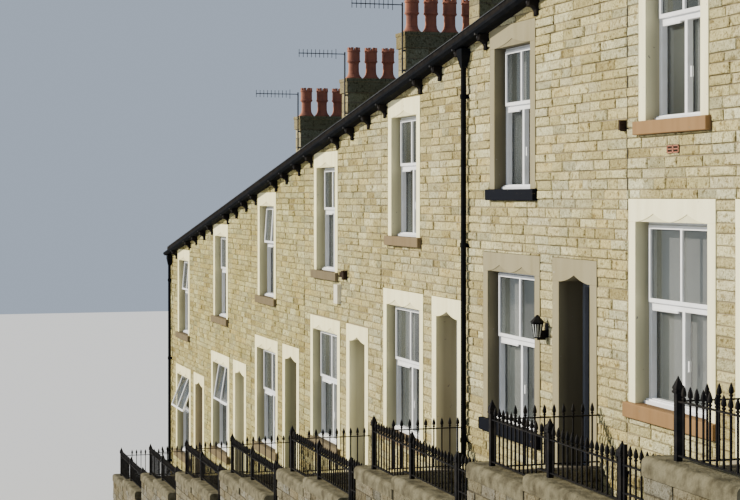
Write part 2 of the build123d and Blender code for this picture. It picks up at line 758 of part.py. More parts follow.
with BuildPart() as chimney_pots:
    with Locations(*line_places):
        with Locations((0, DEPTH / 2, POT_SEAT)):
            with GridLocations(POT_SPACING, POT_SPACING, 1, POTS):
                add(pot.part)
save(chimney_pots.part, "chimney_pots")

# Ridge tiles between the chimneys
with BuildPart() as ridge_run:
    run = PITCH - STACK_WIDTH
    crown = roof_top(DEPTH / 2)
    with BuildSketch(section(STACK_WIDTH / 2)):
        with Locations((DEPTH / 2, STACK_WIDTH / 2 * RAKE + crown)):
            Polygon(
                (0, 0),
                (-RIDGE_WIDTH / 2, -RIDGE_WIDTH / 2 * EAVES_TILT),
                (-RIDGE_WIDTH / 2, RIDGE_THICKNESS - RIDGE_WIDTH / 2 * EAVES_TILT),
                (0, RIDGE_THICKNESS),
                (RIDGE_WIDTH / 2, RIDGE_THICKNESS - RIDGE_WIDTH / 2 * EAVES_TILT),
                (RIDGE_WIDTH / 2, -RIDGE_WIDTH / 2 * EAVES_TILT),
                align=None,
            )
    extrude(amount=run * RAKE_LENGTH, dir=RAKED)

with BuildPart() as ridge_tiles:
    with Locations(*home_places):
        add(ridge_run.part)
save(ridge_tiles.part, "ridge_tiles")

# Eaves: corbels carry a board and a raked gutter
with BuildPart() as corbel:
    with BuildSketch(section(0)):
        foot = EAVES - CORBEL_HEIGHT
        with BuildLine():
            Polyline((-CORBEL_TIP, foot), (0, foot), (0, EAVES), (-CORBEL_REACH, EAVES))
            nose = Line((-CORBEL_REACH, EAVES), (-CORBEL_REACH, EAVES - CORBEL_NOSE))
            belly = SagittaArc(nose @ 1, (-CORBEL_TIP, foot + 0.25 * CORBEL_HEIGHT), CORBEL_TIP / 2)
            Line(belly @ 1, (-CORBEL_TIP, foot))
        make_face()
    extrude(amount=CORBEL_WIDTH * RAKE_LENGTH, dir=RAKED)

with BuildPart() as eaves_corbels:
    with Locations(*home_places):
        for share in CORBEL_PLACES:
            start = share * PITCH - CORBEL_WIDTH / 2
            with Locations((start, 0, start * RAKE)):
                add(corbel.part)
    mirror(about=MIDDLE)
save(eaves_corbels.part, "eaves_corbels")

with BuildPart() as gutter_boards:
    with BuildSketch(section(-END_OVERHANG)):
        with Locations((0, ROOF_DROP)):
            panel(-PROUD - GUTTER_BOARD, -PROUD, EAVES, EAVES + GUTTER_HEIGHT)
    extrude(amount=ROOF_RUN, dir=RAKED)
    mirror(about=MIDDLE)
save(gutter_boards.part, "gutter_boards")

with BuildPart() as gutters:
    back = -PROUD - GUTTER_BOARD
    with BuildSketch(section(-END_OVERHANG)):
        with Locations((0, ROOF_DROP + EAVES)):
            Polygon(
                (back, 0),
                (-GUTTER_BED, 0),
                (-GUTTER_REACH, GUTTER_HEIGHT / 2),
                (-GUTTER_REACH, GUTTER_HEIGHT),
                (-GUTTER_REACH + GUTTER_SKIN, GUTTER_HEIGHT),
                (-GUTTER_REACH + GUTTER_SKIN, GUTTER_HEIGHT / 2 + GUTTER_SKIN / 2),
                (-GUTTER_BED, GUTTER_SKIN),
                (back - GUTTER_SKIN, GUTTER_SKIN),
                (back - GUTTER_SKIN, GUTTER_HEIGHT),
                (back, GUTTER_HEIGHT),
                align=None,
            )
    extrude(amount=ROOF_RUN, dir=RAKED)
    mirror(about=MIDDLE)
save(gutters.part, "gutters")

# Downpipes: hopper, pipe with eared collars, shoe
HOPPER_TOP = EAVES - PIPE_SETBACK * RAKE - HOPPER_WIDTH / 2 * RAKE
with BuildPart() as downpipe:
    with BuildSketch(level(HOPPER_TOP)):
        with Locations((0, -PIPE_REACH)):
            Rectangle(HOPPER_WIDTH, HOPPER_DEPTH)
    extrude(amount=-HOPPER_HEIGHT / 3)
    with BuildSketch(level(HOPPER_TOP - HOPPER_HEIGHT / 3)):
        with Locations((0, -PIPE_REACH)):
            Rectangle(HOPPER_WIDTH, HOPPER_DEPTH)
    with BuildSketch(level(HOPPER_TOP - HOPPER_HEIGHT)):
        with Locations((0, -PIPE_REACH)):
            Rectangle(2 * PIPE_RADIUS, 2 * PIPE_RADIUS)
    loft()
    with BuildSketch(level(HOPPER_TOP - HOPPER_HEIGHT)):
        with Locations((0, -PIPE_REACH)):
            Circle(PIPE_RADIUS)
    extrude(amount=PIPE_FOOT + SHOE_DROP - HOPPER_TOP + HOPPER_HEIGHT)
    for height in PIPE_COLLARS:
        with BuildSketch(level(height)):
            with Locations((0, -PIPE_REACH)):
                Circle(COLLAR_RADIUS)
            with Locations((0, -PIPE_REACH / 2)):
                Rectangle(COLLAR_RADIUS, PIPE_REACH)
            with Locations((0, -COLLAR_RADIUS / 4)):
                Rectangle(COLLAR_EARS, COLLAR_RADIUS / 2)
        extrude(amount=COLLAR_HEIGHT)
    with BuildLine() as shoe_line:
        FilletPolyline(
            (LOW_X, FACADE_Y - PIPE_REACH, FIRST_LINTEL + PIPE_FOOT + SHOE_DROP),
            (LOW_X, FACADE_Y - PIPE_REACH, FIRST_LINTEL + PIPE_FOOT + SHOE_DROP - 60),
            (LOW_X, FACADE_Y - PIPE_REACH - SHOE_REACH / 2, FIRST_LINTEL + PIPE_FOOT + 15),
            radius=20,
        )
    with BuildSketch(level(PIPE_FOOT + SHOE_DROP)):
        with Locations((0, -PIPE_REACH)):
            Circle(PIPE_RADIUS)
    sweep(path=shoe_line.line)

with BuildPart() as downpipes:
    for line in PIPE_LINES:
        x, z = lines[line]
        with Locations((x - PIPE_SETBACK, 0, z)):
            add(downpipe.part)
    mirror(about=MIDDLE)
save(downpipes.part, "downpipes")

# Low walls of the front yards, with a gate opposite each door
YARD = behind(-YARD_DEPTH - YARD_WALL / 2)
RAILING = behind(-YARD_DEPTH)
LOW_WALL_END = LOW_WALL_START + LOW_WALL_LENGTH
with BuildPart() as garden_walls:
    with BuildSketch(YARD):
        for x, z in lines:
            low_foot = z + LOW_COPING_TOP - COPING_HEIGHT
            panel(x + LOW_WALL_START, x + LOW_WALL_END, GROUND, low_foot)
            if x < LENGTH:
                panel(x + LOW_WALL_END, x + GATE_WALL_END, GROUND, z + HIGH_COPING_TOP - COPING_HEIGHT)
    extrude(amount=-YARD_WALL)
save(garden_walls.part, "garden_walls")

with BuildPart() as gate_sills:
    with BuildSketch(YARD):
        for x, z in homes:
            panel(x + GATE_WALL_END, x + PITCH + LOW_WALL_START, GROUND, z + GATE_SILL_TOP)
    extrude(amount=-YARD_WALL)
save(gate_sills.part, "gate_sills")


def coping(start, end, top):
    """A coping stone with a rounded back, laid along the row."""
    with BuildSketch(section(start)) as stone:
        with Locations((-YARD_DEPTH, top - COPING_HEIGHT / 2)):
            Rectangle(COPING_WIDTH, COPING_HEIGHT)
        fillet(vertices().group_by(Axis.Y)[-1], radius=COPING_ROUND)
    extrude(stone.sketch, amount=end - start)


with BuildPart() as low_coping:
    coping(LOW_WALL_START, LOW_WALL_END, LOW_COPING_TOP)
with BuildPart() as high_coping:
    coping(LOW_WALL_END, GATE_WALL_END, HIGH_COPING_TOP)
with BuildPart() as garden_copings:
    with Locations(*line_places):
        add(low_coping.part)
    with Locations(*home_places):
        add(high_coping.part)
save(garden_copings.part, "garden_copings")

COPING_EDGE = -YARD_DEPTH + COPING_WIDTH / 2
with BuildPart() as divider_walls:
    for x, z in lines:
        with BuildSketch(section(x + DIVIDER_WALL_PLACE - DIVIDER_WALL / 2)):
            panel(-YARD_DEPTH + YARD_WALL / 2, 0, GROUND, z + LOW_COPING_TOP - COPING_HEIGHT)
            panel(COPING_EDGE, 0, GROUND, z + DIVIDER_TOP)
        extrude(amount=DIVIDER_WALL)
save(divider_walls.part, "divider_walls")


def picket_run(first, last, foot, tips, across=False):
    """Upright bars with spear heads from first to last, along or across the row."""
    count = int((last - first) // BAR_SPACING)
    middle = (first + last) / 2
    centre = (middle, -YARD_DEPTH)
    grid = (BAR_SPACING, BAR_SPACING, count, 1)
    if across:
        centre = (DIVIDER_PLACE, middle)
        grid = (BAR_SPACING, BAR_SPACING, 1, count)
    with BuildSketch(level(foot)) as bars:
        with Locations(centre):
            with GridLocations(*grid):
                Rectangle(BAR, BAR)
    extrude(bars.sketch, amount=tips - SPEAR_HEIGHT - foot)
    with BuildSketch(level(tips - SPEAR_HEIGHT)) as spears:
        with Locations(centre):
            with GridLocations(*grid):
                Rectangle(SPEAR_WIDTH, SPEAR_WIDTH)
    extrude(spears.sketch, amount=SPEAR_HEIGHT, taper=SPEAR_TAPER)


def post(place, depth, foot, tip):
    """A square post with a pointed cap."""
    with BuildSketch(level(foot)) as shaft:
        with Locations((place, depth)):
            Rectangle(POST, POST)
    extrude(shaft.sketch, amount=tip - POST_CAP - foot)
    with BuildSketch(level(tip - POST_CAP)) as point:
        with Locations((place, depth)):
            Rectangle(POST_CAP_WIDTH, POST_CAP_WIDTH)
    extrude(point.sketch, amount=POST_CAP, taper=POST_CAP_TAPER)


def rail(start, end, height):
    """A flat rail along the street railing."""
    with BuildSketch(level(height)) as flat:
        with Locations(((start + end) / 2, -YARD_DEPTH)):
            Rectangle(end - start, RAIL_WIDTH)
    extrude(flat.sketch, amount=RAIL_HEIGHT)


LOW_RAIL = LOW_COPING_TOP + 45.0
HIGH_RAIL = HIGH_COPING_TOP + 45.0


def street_panel(last):
    """Street railing from the divider post to the last post of its run."""
    post(DIVIDER_PLACE, -YARD_DEPTH, LOW_COPING_TOP, POST_TIP)
    rail(DIVIDER_PLACE, LOW_WALL_END, LOW_RAIL)
    picket_run(DIVIDER_PLACE + POST / 2, LOW_WALL_END, LOW_RAIL, BAR_TIP)
    if last > LOW_WALL_END:
        post(POST_LINES, -YARD_DEPTH, HIGH_COPING_TOP, POST_TIP)
        rail(LOW_WALL_END, last, HIGH_RAIL)
        picket_run(LOW_WALL_END, POST_LINES - POST / 2, HIGH_RAIL, BAR_TIP)
        picket_run(POST_LINES + POST / 2, last - POST / 2, HIGH_RAIL, BAR_TIP)
        post(last, -YARD_DEPTH, GATE_SILL_TOP, POST_TIP)
    rail(DIVIDER_PLACE, last, TOP_RAIL)


GATE_HINGE_X = GATE_POST + POST / 2 + GATE_GAP / 2
GATE_HINGE_Y = -YARD_DEPTH + PINTLE_STANDOFF
GATE_LEFT = GATE_POST + POST / 2 + GATE_GAP
GATE_RIGHT = PITCH + LOW_WALL_START - GATE_LATCH_GAP
GATE_FOOT = GATE_SILL_TOP + GATE_FOOT_GAP
GATE_RAILS = (GATE_FOOT + 40.0, GATE_MIDDLE_RAIL, TOP_RAIL)
PINTLE_HEIGHTS = (GATE_FOOT + 90.0, TOP_RAIL - 110.0)


def pintles(side, first):
    """Gate hinge knuckles, on the post (-1) or on the gate (1)."""
    for height in PINTLE_HEIGHTS:
        with BuildSketch(level(height + first)) as knuckle:
            with Locations((GATE_HINGE_X, GATE_HINGE_Y)):
                Circle(PINTLE_RADIUS)
            near = -YARD_DEPTH + (POST if side < 0 else GATE_STILE) / 2 - PINTLE_ROOT
            far = GATE_HINGE_Y + PINTLE_RADIUS
            with Locations((GATE_HINGE_X + side * PINTLE_ARM / 2, (near + far) / 2)):
                Rectangle(PINTLE_ARM, far - near)
        extrude(knuckle.sketch, amount=PINTLE_HEIGHT)


with BuildPart() as street_railing:
    street_panel(GATE_POST)
    pintles(-1, 0)
with BuildPart() as last_street_railing:
    street_panel(LOW_WALL_END)
with BuildPart() as street_railings:
    with Locations(*home_places):
        add(street_railing.part)
    with Locations(line_places[-1]):
        add(last_street_railing.part)
save(street_railings.part, "street_railings")

with BuildPart() as divider_railing:
    for height, start in ((DIVIDER_RAIL, COPING_EDGE), (TOP_RAIL, -YARD_DEPTH + POST / 2)):
        with BuildSketch(level(height)):
            with Locations((DIVIDER_PLACE, start / 2)):
                Rectangle(RAIL_WIDTH, -start)
        extrude(amount=RAIL_HEIGHT)
    picket_run(COPING_EDGE, 0, DIVIDER_RAIL, BAR_TIP, across=True)

with BuildPart() as divider_railings:
    with Locations(*line_places):
        add(divider_railing.part)
save(divider_railings.part, "divider_railings")

with BuildPart() as gate:
    for height in GATE_RAILS:
        rail(GATE_LEFT, GATE_RIGHT, height)
    for stile in (GATE_LEFT + GATE_STILE / 2, GATE_RIGHT - GATE_STILE / 2):
        with BuildSketch(level(GATE_FOOT)):
            with Locations((stile, -YARD_DEPTH)):
                Rectangle(GATE_STILE, GATE_STILE)
        extrude(amount=GATE_TIP - GATE_FOOT)
    picket_run(GATE_LEFT + GATE_STILE, GATE_RIGHT - GATE_STILE, GATE_RAILS[0], GATE_TIP)
    pintles(1, PINTLE_HEIGHT + HINGE_PLAY)

for house, place in enumerate(home_places):
    with BuildPart() as yard_gate:
        with Locations(place):
            add(gate.part)
    save(yard_gate.part, f"gate_{house + 1}")

# Fittings on the facade
with BuildPart() as air_bricks:
    with BuildSketch(FACADE):
        for house, across, height in AIR_BRICK_PLACES:
            x, z = homes[house]
            with Locations((x + across, z + height)):
                Rectangle(*AIR_BRICK)
    extrude(amount=AIR_BRICK_DEPTH)
save(air_bricks.part, "air_bricks")

with BuildPart() as alarm_box:
    x, z = homes[ALARM_HOUSE]
    with BuildSketch(FACADE):
        with Locations((x + ALARM_PLACE[0], z + ALARM_PLACE[1])):
            Rectangle(ALARM_SIZE[0], ALARM_SIZE[1])
    extrude(amount=ALARM_SIZE[2], taper=6)
save(alarm_box.part, "alarm_box")

with BuildPart() as wall_lantern:
    x, z = homes[LANTERN_HOUSE]
    across, height = x + LANTERN_PLACE[0], z + LANTERN_PLACE[1]
    with BuildSketch(FACADE):
        with Locations((across, height)):
            RectangleRounded(LANTERN_PLATE[0], LANTERN_PLATE[1], LANTERN_PLATE[0] / 3)
    extrude(amount=LANTERN_PLATE[2])
    with BuildSketch(FACADE):
        with Locations((across, height - LANTERN_HEIGHT / 2 - LANTERN_ARM / 2)):
            Rectangle(LANTERN_ARM, LANTERN_ARM)
        with Locations((across, height - LANTERN_HEIGHT / 4)):
            Rectangle(LANTERN_ARM, LANTERN_HEIGHT / 2)
    extrude(amount=LANTERN_REACH)
    for foot, top, base, cap_width in (
        (-LANTERN_HEIGHT / 2, LANTERN_HEIGHT / 2, LANTERN_FOOT, LANTERN_TOP),
        (LANTERN_HEIGHT / 2, LANTERN_HEIGHT / 2 + LANTERN_ROOF, LANTERN_TOP * 1.2, LANTERN_ARM),
    ):
        with BuildSketch(level(height + foot)):
            with Locations((across, -LANTERN_REACH)):
                RegularPolygon(base / 2, 6)
        with BuildSketch(level(height + top)):
            with Locations((across, -LANTERN_REACH)):
                RegularPolygon(cap_width / 2, 6)
        loft()
save(wall_lantern.part, "wall_lantern")

# Aerials clamped to the street face of three chimneys
MAST_DEPTH = STACK_FRONT - BAND_REACH - CAP_REACH - MAST_RADIUS
with BuildPart() as aerial:
    with BuildSketch(level(STACK_TOP - MAST_LAP)):
        with Locations((MAST_PLACE, MAST_DEPTH)):
            Circle(MAST_RADIUS)
    extrude(amount=MAST_TOP - STACK_TOP + MAST_LAP)
    for height in (STACK_TOP - MAST_LAP + MAST_CLAMP, STACK_TOP - 2 * MAST_CLAMP):
        with BuildSketch(level(height)):
            with Locations((MAST_PLACE, (MAST_DEPTH + STACK_FRONT) / 2)):
                Rectangle(MAST_CLAMP, STACK_FRONT - MAST_DEPTH)
        extrude(amount=MAST_CLAMP)
    with BuildSketch(level(BOOM_HEIGHT)):
        with Locations((MAST_PLACE, MAST_DEPTH - BOOM_LENGTH / 2)):
            Rectangle(BOOM_SIDE, BOOM_LENGTH)
    extrude(amount=BOOM_SIDE)
    first = MAST_DEPTH - BOOM_LENGTH + ELEMENT_SIDE
    with BuildSketch(section(MAST_PLACE - ELEMENT_SIDE / 2)):
        for number in range(ELEMENT_COUNT):
            with Locations((first + number * ELEMENT_SPACING, BOOM_HEIGHT + BOOM_SIDE / 2)):
                Rectangle(ELEMENT_SIDE, ELEMENT_LENGTH)
        with Locations((first + ELEMENT_COUNT * ELEMENT_SPACING, BOOM_HEIGHT + BOOM_SIDE / 2)):
            Rectangle(ELEMENT_SIDE, REFLECTOR_LENGTH)
    extrude(amount=ELEMENT_SIDE)

with BuildPart() as tv_aerials:
    for line in AERIAL_LINES:
        with Locations(line_places[line]):
            add(aerial.part)
save(tv_aerials.part, "tv_aerials")
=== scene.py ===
import math
import random

import bmesh
import bpy
import numpy as np
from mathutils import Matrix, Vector


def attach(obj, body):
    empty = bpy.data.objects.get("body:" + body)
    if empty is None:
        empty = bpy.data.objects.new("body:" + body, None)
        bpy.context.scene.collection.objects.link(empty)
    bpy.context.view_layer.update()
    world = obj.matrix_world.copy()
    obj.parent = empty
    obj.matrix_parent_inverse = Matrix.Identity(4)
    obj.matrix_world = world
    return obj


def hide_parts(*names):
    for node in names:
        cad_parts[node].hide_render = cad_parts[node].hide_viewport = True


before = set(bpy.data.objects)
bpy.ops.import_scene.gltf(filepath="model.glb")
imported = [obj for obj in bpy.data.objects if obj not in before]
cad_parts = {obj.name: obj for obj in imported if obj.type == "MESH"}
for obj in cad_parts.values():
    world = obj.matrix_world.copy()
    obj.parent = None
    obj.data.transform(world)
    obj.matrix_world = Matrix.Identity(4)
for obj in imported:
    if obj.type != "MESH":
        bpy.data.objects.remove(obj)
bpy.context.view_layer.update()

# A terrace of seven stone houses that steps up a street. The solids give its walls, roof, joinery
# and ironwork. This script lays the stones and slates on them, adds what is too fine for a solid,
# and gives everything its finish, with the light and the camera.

TERRACE = "terrace"       # the body that carries everything but the doors and gates

# The row's own sizes, in metres, as the solids have them
HOUSES = 7
PITCH = 4.4               # from one party line to the next
STEP = 0.7                # rise from one house to the next
RAKE = STEP / PITCH
LENGTH = HOUSES * PITCH
DEPTH = 8.4
HALF_DEPTH = DEPTH / 2
END = 0.27                # the end walls' reach past the end lines
LOW_X = -15.655           # the low end's line
FACADE_Y = -3.5675
MIDDLE = FACADE_Y + HALF_DEPTH
LINTELS = 3.7             # top of the lowest house's ground-floor lintels
GROUND = -LINTELS
WINDOW = (0.53, 2.46, -2.34, 0.0)      # left, right, foot and head of the dressed stone
UPPER = (0.775, 2.315, 0.677, 2.91)
DOOR = (2.85, 4.11, -2.60, 0.0)
SILL_REACH = 0.045        # a sill's reach past its surround
GROUND_SILL, UPPER_SILL = 0.16, 0.143
PROUD = 0.02              # dressed stone before the wall face
EAVES = 2.75
TUCKED = 0.12             # the courses' reach over the eaves line, behind the gutter
ROOF_SEAT = 0.14
ROOF_PITCH = math.radians(30)
SLOPE = math.tan(ROOF_PITCH)
ROOF_THICKNESS = 0.13
ROOF_TOP = EAVES + ROOF_SEAT + ROOF_THICKNESS
OVERHANG = 0.10
YARD = 1.29               # wall face to the line of the street railings
STACK_TOP = 6.00
STACK_SIDE = 0.27         # half of a stack, along the row
STACK_HALF = 0.86         # half of a stack, across the roof
lines = [(k * PITCH, k * STEP) for k in range(HOUSES + 1)]     # party and end lines
homes = lines[:HOUSES]                                         # the low corner of each house


def place(along, height, out=0.0):
    """A point by its way along the row, height over the lowest lintels and distance before the
    facade."""
    return LOW_X + along, FACADE_Y - out, LINTELS + height


def in_scene(name, data):
    """A new object of the scene."""
    made = bpy.data.objects.new(name, data)
    bpy.context.scene.collection.objects.link(made)
    return made


# Camera and light
camera = in_scene("street_camera", bpy.data.cameras.new("street_camera"))
bpy.context.scene.camera = camera
camera.data.sensor_width = 36.0
camera.data.lens = 83.6
camera.data.shift_y = -0.0716
camera.data.clip_end = 400.0
camera.location = (28.14, -11.65, 7.92)
camera.rotation_euler = (math.radians(90), 0, math.radians(73))

sun = in_scene("soft_sun", bpy.data.lights.new("soft_sun", "SUN"))
sun.data.energy = 7.1
sun.data.angle = math.radians(1.5)
sun.data.color = (1.0, 0.93, 0.80)
sun.rotation_euler = Vector((0.55, 1.00, -0.52)).to_track_quat("-Z", "Y").to_euler()

world = bpy.data.worlds.new("pale_studio")
bpy.context.scene.world = world
world.use_nodes = True
backdrop = world.node_tree.nodes["Background"].inputs
backdrop["Color"].default_value = (0.66, 0.78, 0.95, 1)
backdrop["Strength"].default_value = 0.60


# Materials
WHITE = (1, 1, 1)


def finish(name, roughness, metallic=0.0, coat=0.0, gloss=0.5):
    """A new material, its node tree and its shader."""
    made = bpy.data.materials.new(name)
    made.use_nodes = True
    shader = made.node_tree.nodes["Principled BSDF"]
    shader.inputs["Roughness"].default_value = roughness
    shader.inputs["Metallic"].default_value = metallic
    shader.inputs["Coat Weight"].default_value = coat
    shader.inputs["Specular IOR Level"].default_value = gloss
    return made, made.node_tree, shader


def node(tree, kind, inputs=None, **settings):
    """A node with its settings, its values and its links."""
    made = tree.nodes.new(kind)
    for key, value in settings.items():
        setattr(made, key, value)
    for key, value in (inputs or {}).items():
        if isinstance(value, bpy.types.NodeSocket):
            tree.links.new(value, made.inputs[key])
        else:
            made.inputs[key].default_value = value
    return made


def maths(tree, how, *values):
    """The result of a sum on numbers."""
    return node(tree, "ShaderNodeMath", dict(enumerate(values)), operation=how).outputs[0]


def spread_out(tree, value, **limits):
    """A number mapped from one range to another."""
    inputs = {"Value": value, **{key.replace("_", " "): limit for key, limit in limits.items()}}
    return node(tree, "ShaderNodeMapRange", inputs).outputs["Result"]


def ramp(tree, factor, stops, smooth=True):
    """A colour ramp from (place, colour) stops."""
    made = node(tree, "ShaderNodeValToRGB", {"Fac": factor})
    made.color_ramp.interpolation = "LINEAR" if smooth else "CONSTANT"
    elements = made.color_ramp.elements
    (low, low_colour), *between, (high, high_colour) = stops
    elements[0].position, elements[1].position = low, high
    elements[0].color, elements[1].color = (*low_colour, 1), (*high_colour, 1)
    for position, colour in between:
        elements.new(position).color = (*colour, 1)
    return made.outputs["Color"]


def noise(tree, scale, detail, stretch=None):
    """Noise on Object coordinates."""
    where = node(tree, "ShaderNodeTexCoord").outputs["Object"]
    if stretch:
        mapping = node(tree, "ShaderNodeMapping", {"Vector": where, "Scale": stretch})
        where = mapping.outputs["Vector"]
    inputs = {"Vector": where, "Scale": scale, "Detail": detail}
    return node(tree, "ShaderNodeTexNoise", inputs).outputs["Fac"]


def blend(tree, factor, first, second, how="MIX"):
    """Two colours mixed."""
    made = node(tree, "ShaderNodeMix", data_type="RGBA", blend_type=how)
    for socket, value in ((0, factor), (6, first), (7, second)):
        if isinstance(value, bpy.types.NodeSocket):
            tree.links.new(value, made.inputs[socket])
        else:
            made.inputs[socket].default_value = value
    return made.outputs[2]


def stained(tree, colour, amount, scale, detail, stops, stretch=None):
    """The colour multiplied by a ramp over noise."""
    stain = ramp(tree, noise(tree, scale, detail, stretch), stops)
    return blend(tree, amount, colour, stain, "MULTIPLY")


def grain(tree, shader, height, strength, distance):
    """Bump on the shader's normal."""
    bump = node(
        tree, "ShaderNodeBump", {"Height": height, "Strength": strength, "Distance": distance}
    )
    tree.links.new(bump.outputs["Normal"], shader.inputs["Normal"])


def along_axis(tree, axis):
    """The place along an axis of the row."""
    where = node(tree, "ShaderNodeTexCoord").outputs["Object"]
    return node(tree, "ShaderNodeSeparateXYZ", {"Vector": where}).outputs[axis]


def by_house(tree, colours, smooth=False):
    """One colour for each house, from the place along the row."""
    low = LOW_X - 0.1     # a little before the line, so that each piece keeps to its own house
    share = spread_out(tree, along_axis(tree, "X"), From_Min=low, From_Max=low + LENGTH)
    stops = [(k / HOUSES, colour) for k, colour in enumerate(colours)]
    return ramp(tree, share, stops, smooth)


def sooted_and_shaded(tree, colour, turn, low, high, soot):
    """The colour darkened by soot and painted shade where the face's normal, taken along turn, goes
    from low to high.

    Where low isn't negative, both ways along turn count."""
    facing = node(tree, "ShaderNodeTexCoord").outputs["Normal"]
    share = node(
        tree, "ShaderNodeVectorMath", {0: facing, 1: turn}, operation="DOT_PRODUCT"
    ).outputs["Value"]
    if low >= 0:
        share = maths(tree, "ABSOLUTE", share)
    amount = spread_out(tree, share, From_Min=low, From_Max=high)
    return blend(tree, amount, colour, blend(tree, 1.0, colour, (*soot, 1), "MULTIPLY"))


PITTED = 0.75             # how strongly the pits of quarried stone show


def sandstone(name, tints, soot, side_soot_and_shade=None, painted_edge_shade=0.9, along=None):
    """Quarried stone: a tint for each block, patches, dark pits, painted shade at the blocks'
    edges, and a rough grain.

    The faces that look up and down the street may be darkened by soot and painted shade, the
    painted shade at the blocks' edges has a strength of its own, and along gives a tint for each
    house."""
    made, tree, shader = finish(name, 0.9, gloss=0.15)
    tone = node(tree, "ShaderNodeAttribute", attribute_name="tone").outputs["Fac"]
    colour = ramp(tree, tone, [(k / (len(tints) - 1), tint) for k, tint in enumerate(tints)])
    patches = [(0.38, WHITE), (0.66, (0.80, 0.74, 0.56))]
    colour = stained(tree, colour, soot * 2.2, 0.9, 3.0, patches)
    if along:
        colour = blend(tree, 1.0, colour, by_house(tree, along, smooth=True), "MULTIPLY")
    mottle = [(0.30, (0.70, 0.66, 0.58)), (0.62, (1.12, 1.10, 1.06))]
    colour = stained(tree, colour, 0.75, 22.0, 6.0, mottle)
    specks = [(0.36, (0.30, 0.25, 0.17)), (0.44, WHITE)]
    colour = stained(tree, colour, PITTED, 52.0, 7.0, specks)
    hollows = [(0.36, (0.40, 0.34, 0.24)), (0.43, WHITE)]
    colour = stained(tree, colour, PITTED, 15.0, 7.0, hollows)
    # Painted shade: each block is darker towards its edges, as if shaded where it meets its
    # neighbours
    middle = node(tree, "ShaderNodeAttribute", attribute_name="middle").outputs["Fac"]
    edge = maths(tree, "MULTIPLY_ADD", noise(tree, 30.0, 6.0), 1.5, middle)
    edge_shade_stops = [(0.64, (0.30, 0.25, 0.17)), (0.82, (0.74, 0.69, 0.57)), (1.00, WHITE)]
    colour = blend(tree, painted_edge_shade, colour, ramp(tree, edge, edge_shade_stops), "MULTIPLY")
    # Soot and painted shade darken the faces that look up and down the street
    if side_soot_and_shade:
        colour = sooted_and_shaded(tree, colour, (1, 0, 0), 0.55, 0.80, side_soot_and_shade)
    tree.links.new(colour, shader.inputs["Base Color"])
    rough = maths(tree, "ADD", noise(tree, 17.0, 8.0), noise(tree, 60.0, 6.0))
    grain(tree, shader, rough, 0.9, 0.022)
    return made


def recess(tree):
    """0 on the dressed stone before the walls, and 1 at 0.25 m behind either wall face."""
    off_middle = maths(tree, "SUBTRACT", along_axis(tree, "Y"), MIDDLE)
    reach = maths(tree, "ABSOLUTE", off_middle)
    return spread_out(tree, reach, From_Min=HALF_DEPTH + 0.018, From_Max=HALF_DEPTH - 0.25)


def dressed_stone(name, colours, worn=(0.42, 0.38, 0.32), rough=0.0):
    """Painted or plain dressed stone, a colour for each house, with streaks, worn spots and painted
    shade in its carving and recesses.
    """
    made, tree, shader = finish(name, 0.8, gloss=0.06)
    streaks = [(0.42, WHITE), (0.75, (0.80, 0.77, 0.71))]
    colour = stained(tree, by_house(tree, colours), 0.7, 3.0, 5.0, streaks, (2.2, 2.2, 0.35))
    chips = ramp(tree, noise(tree, 19.0, 8.0), [(0.70, (0, 0, 0)), (0.74, WHITE)])
    colour = blend(tree, chips, colour, (*worn, 1))
    # Painted shade: darker on the carved faces just behind the dressed stone, deeper still into the
    # reveals and door recesses
    shade = [(0.0, WHITE), (0.02, (0.80, 0.80, 0.80)), (0.45, (0.42, 0.415, 0.44))]
    colour = blend(tree, 1.0, colour, ramp(tree, recess(tree), shade), "MULTIPLY")
    if rough:
        blotches = [(0.34, (0.42, 0.40, 0.36)), (0.62, (1.1, 1.1, 1.08))]
        colour = stained(tree, colour, rough, 7.0, 8.0, blotches)
    tree.links.new(colour, shader.inputs["Base Color"])
    texture = noise(tree, 26.0 if rough else 60.0, 7.0)
    grain(tree, shader, texture, 0.35 + 0.5 * rough, 0.004 + 0.02 * rough)
    return made


def plain(name, colour, dust, roughness, scale, bump, metallic=0.0, coat=0.0, gloss=0.5,
          soot=None):
    """A moulded or painted surface with a faint film of dust and a fine texture; soot, where given,
    darkens one side with soot and painted shade.
    """
    made, tree, shader = finish(name, roughness, metallic, coat, gloss)
    film = ramp(tree, noise(tree, scale, 6.0), [(0.40, colour), (0.80, dust)])
    if soot:
        film = sooted_and_shaded(tree, film, *soot)
    tree.links.new(film, shader.inputs["Base Color"])
    grain(tree, shader, noise(tree, 140.0, 4.0), bump, 0.002)
    return made


# Stones
SAND = (
    (0.33, 0.275, 0.13), (0.58, 0.52, 0.295), (0.44, 0.39, 0.205), (0.66, 0.61, 0.365),
    (0.51, 0.475, 0.315), (0.59, 0.50, 0.25), (0.39, 0.37, 0.24), (0.68, 0.65, 0.43),
)
WALL_TINTS = (
    (0.85, 0.86, 0.67), (0.85, 0.86, 0.67), (0.85, 0.86, 0.67), (0.87, 0.88, 0.71),
    (0.94, 0.955, 0.89), (1.0, 1.01, 0.96), (1.05, 1.08, 1.07),
)
wall_stone = sandstone("coursed_sandstone", SAND, soot=0.30, along=WALL_TINTS, painted_edge_shade=0.68)
yard_stone = sandstone(
    "yard_wall_sandstone", [(0.34 * r, 0.35 * g, 0.44 * b) for r, g, b in SAND], soot=0.4
)
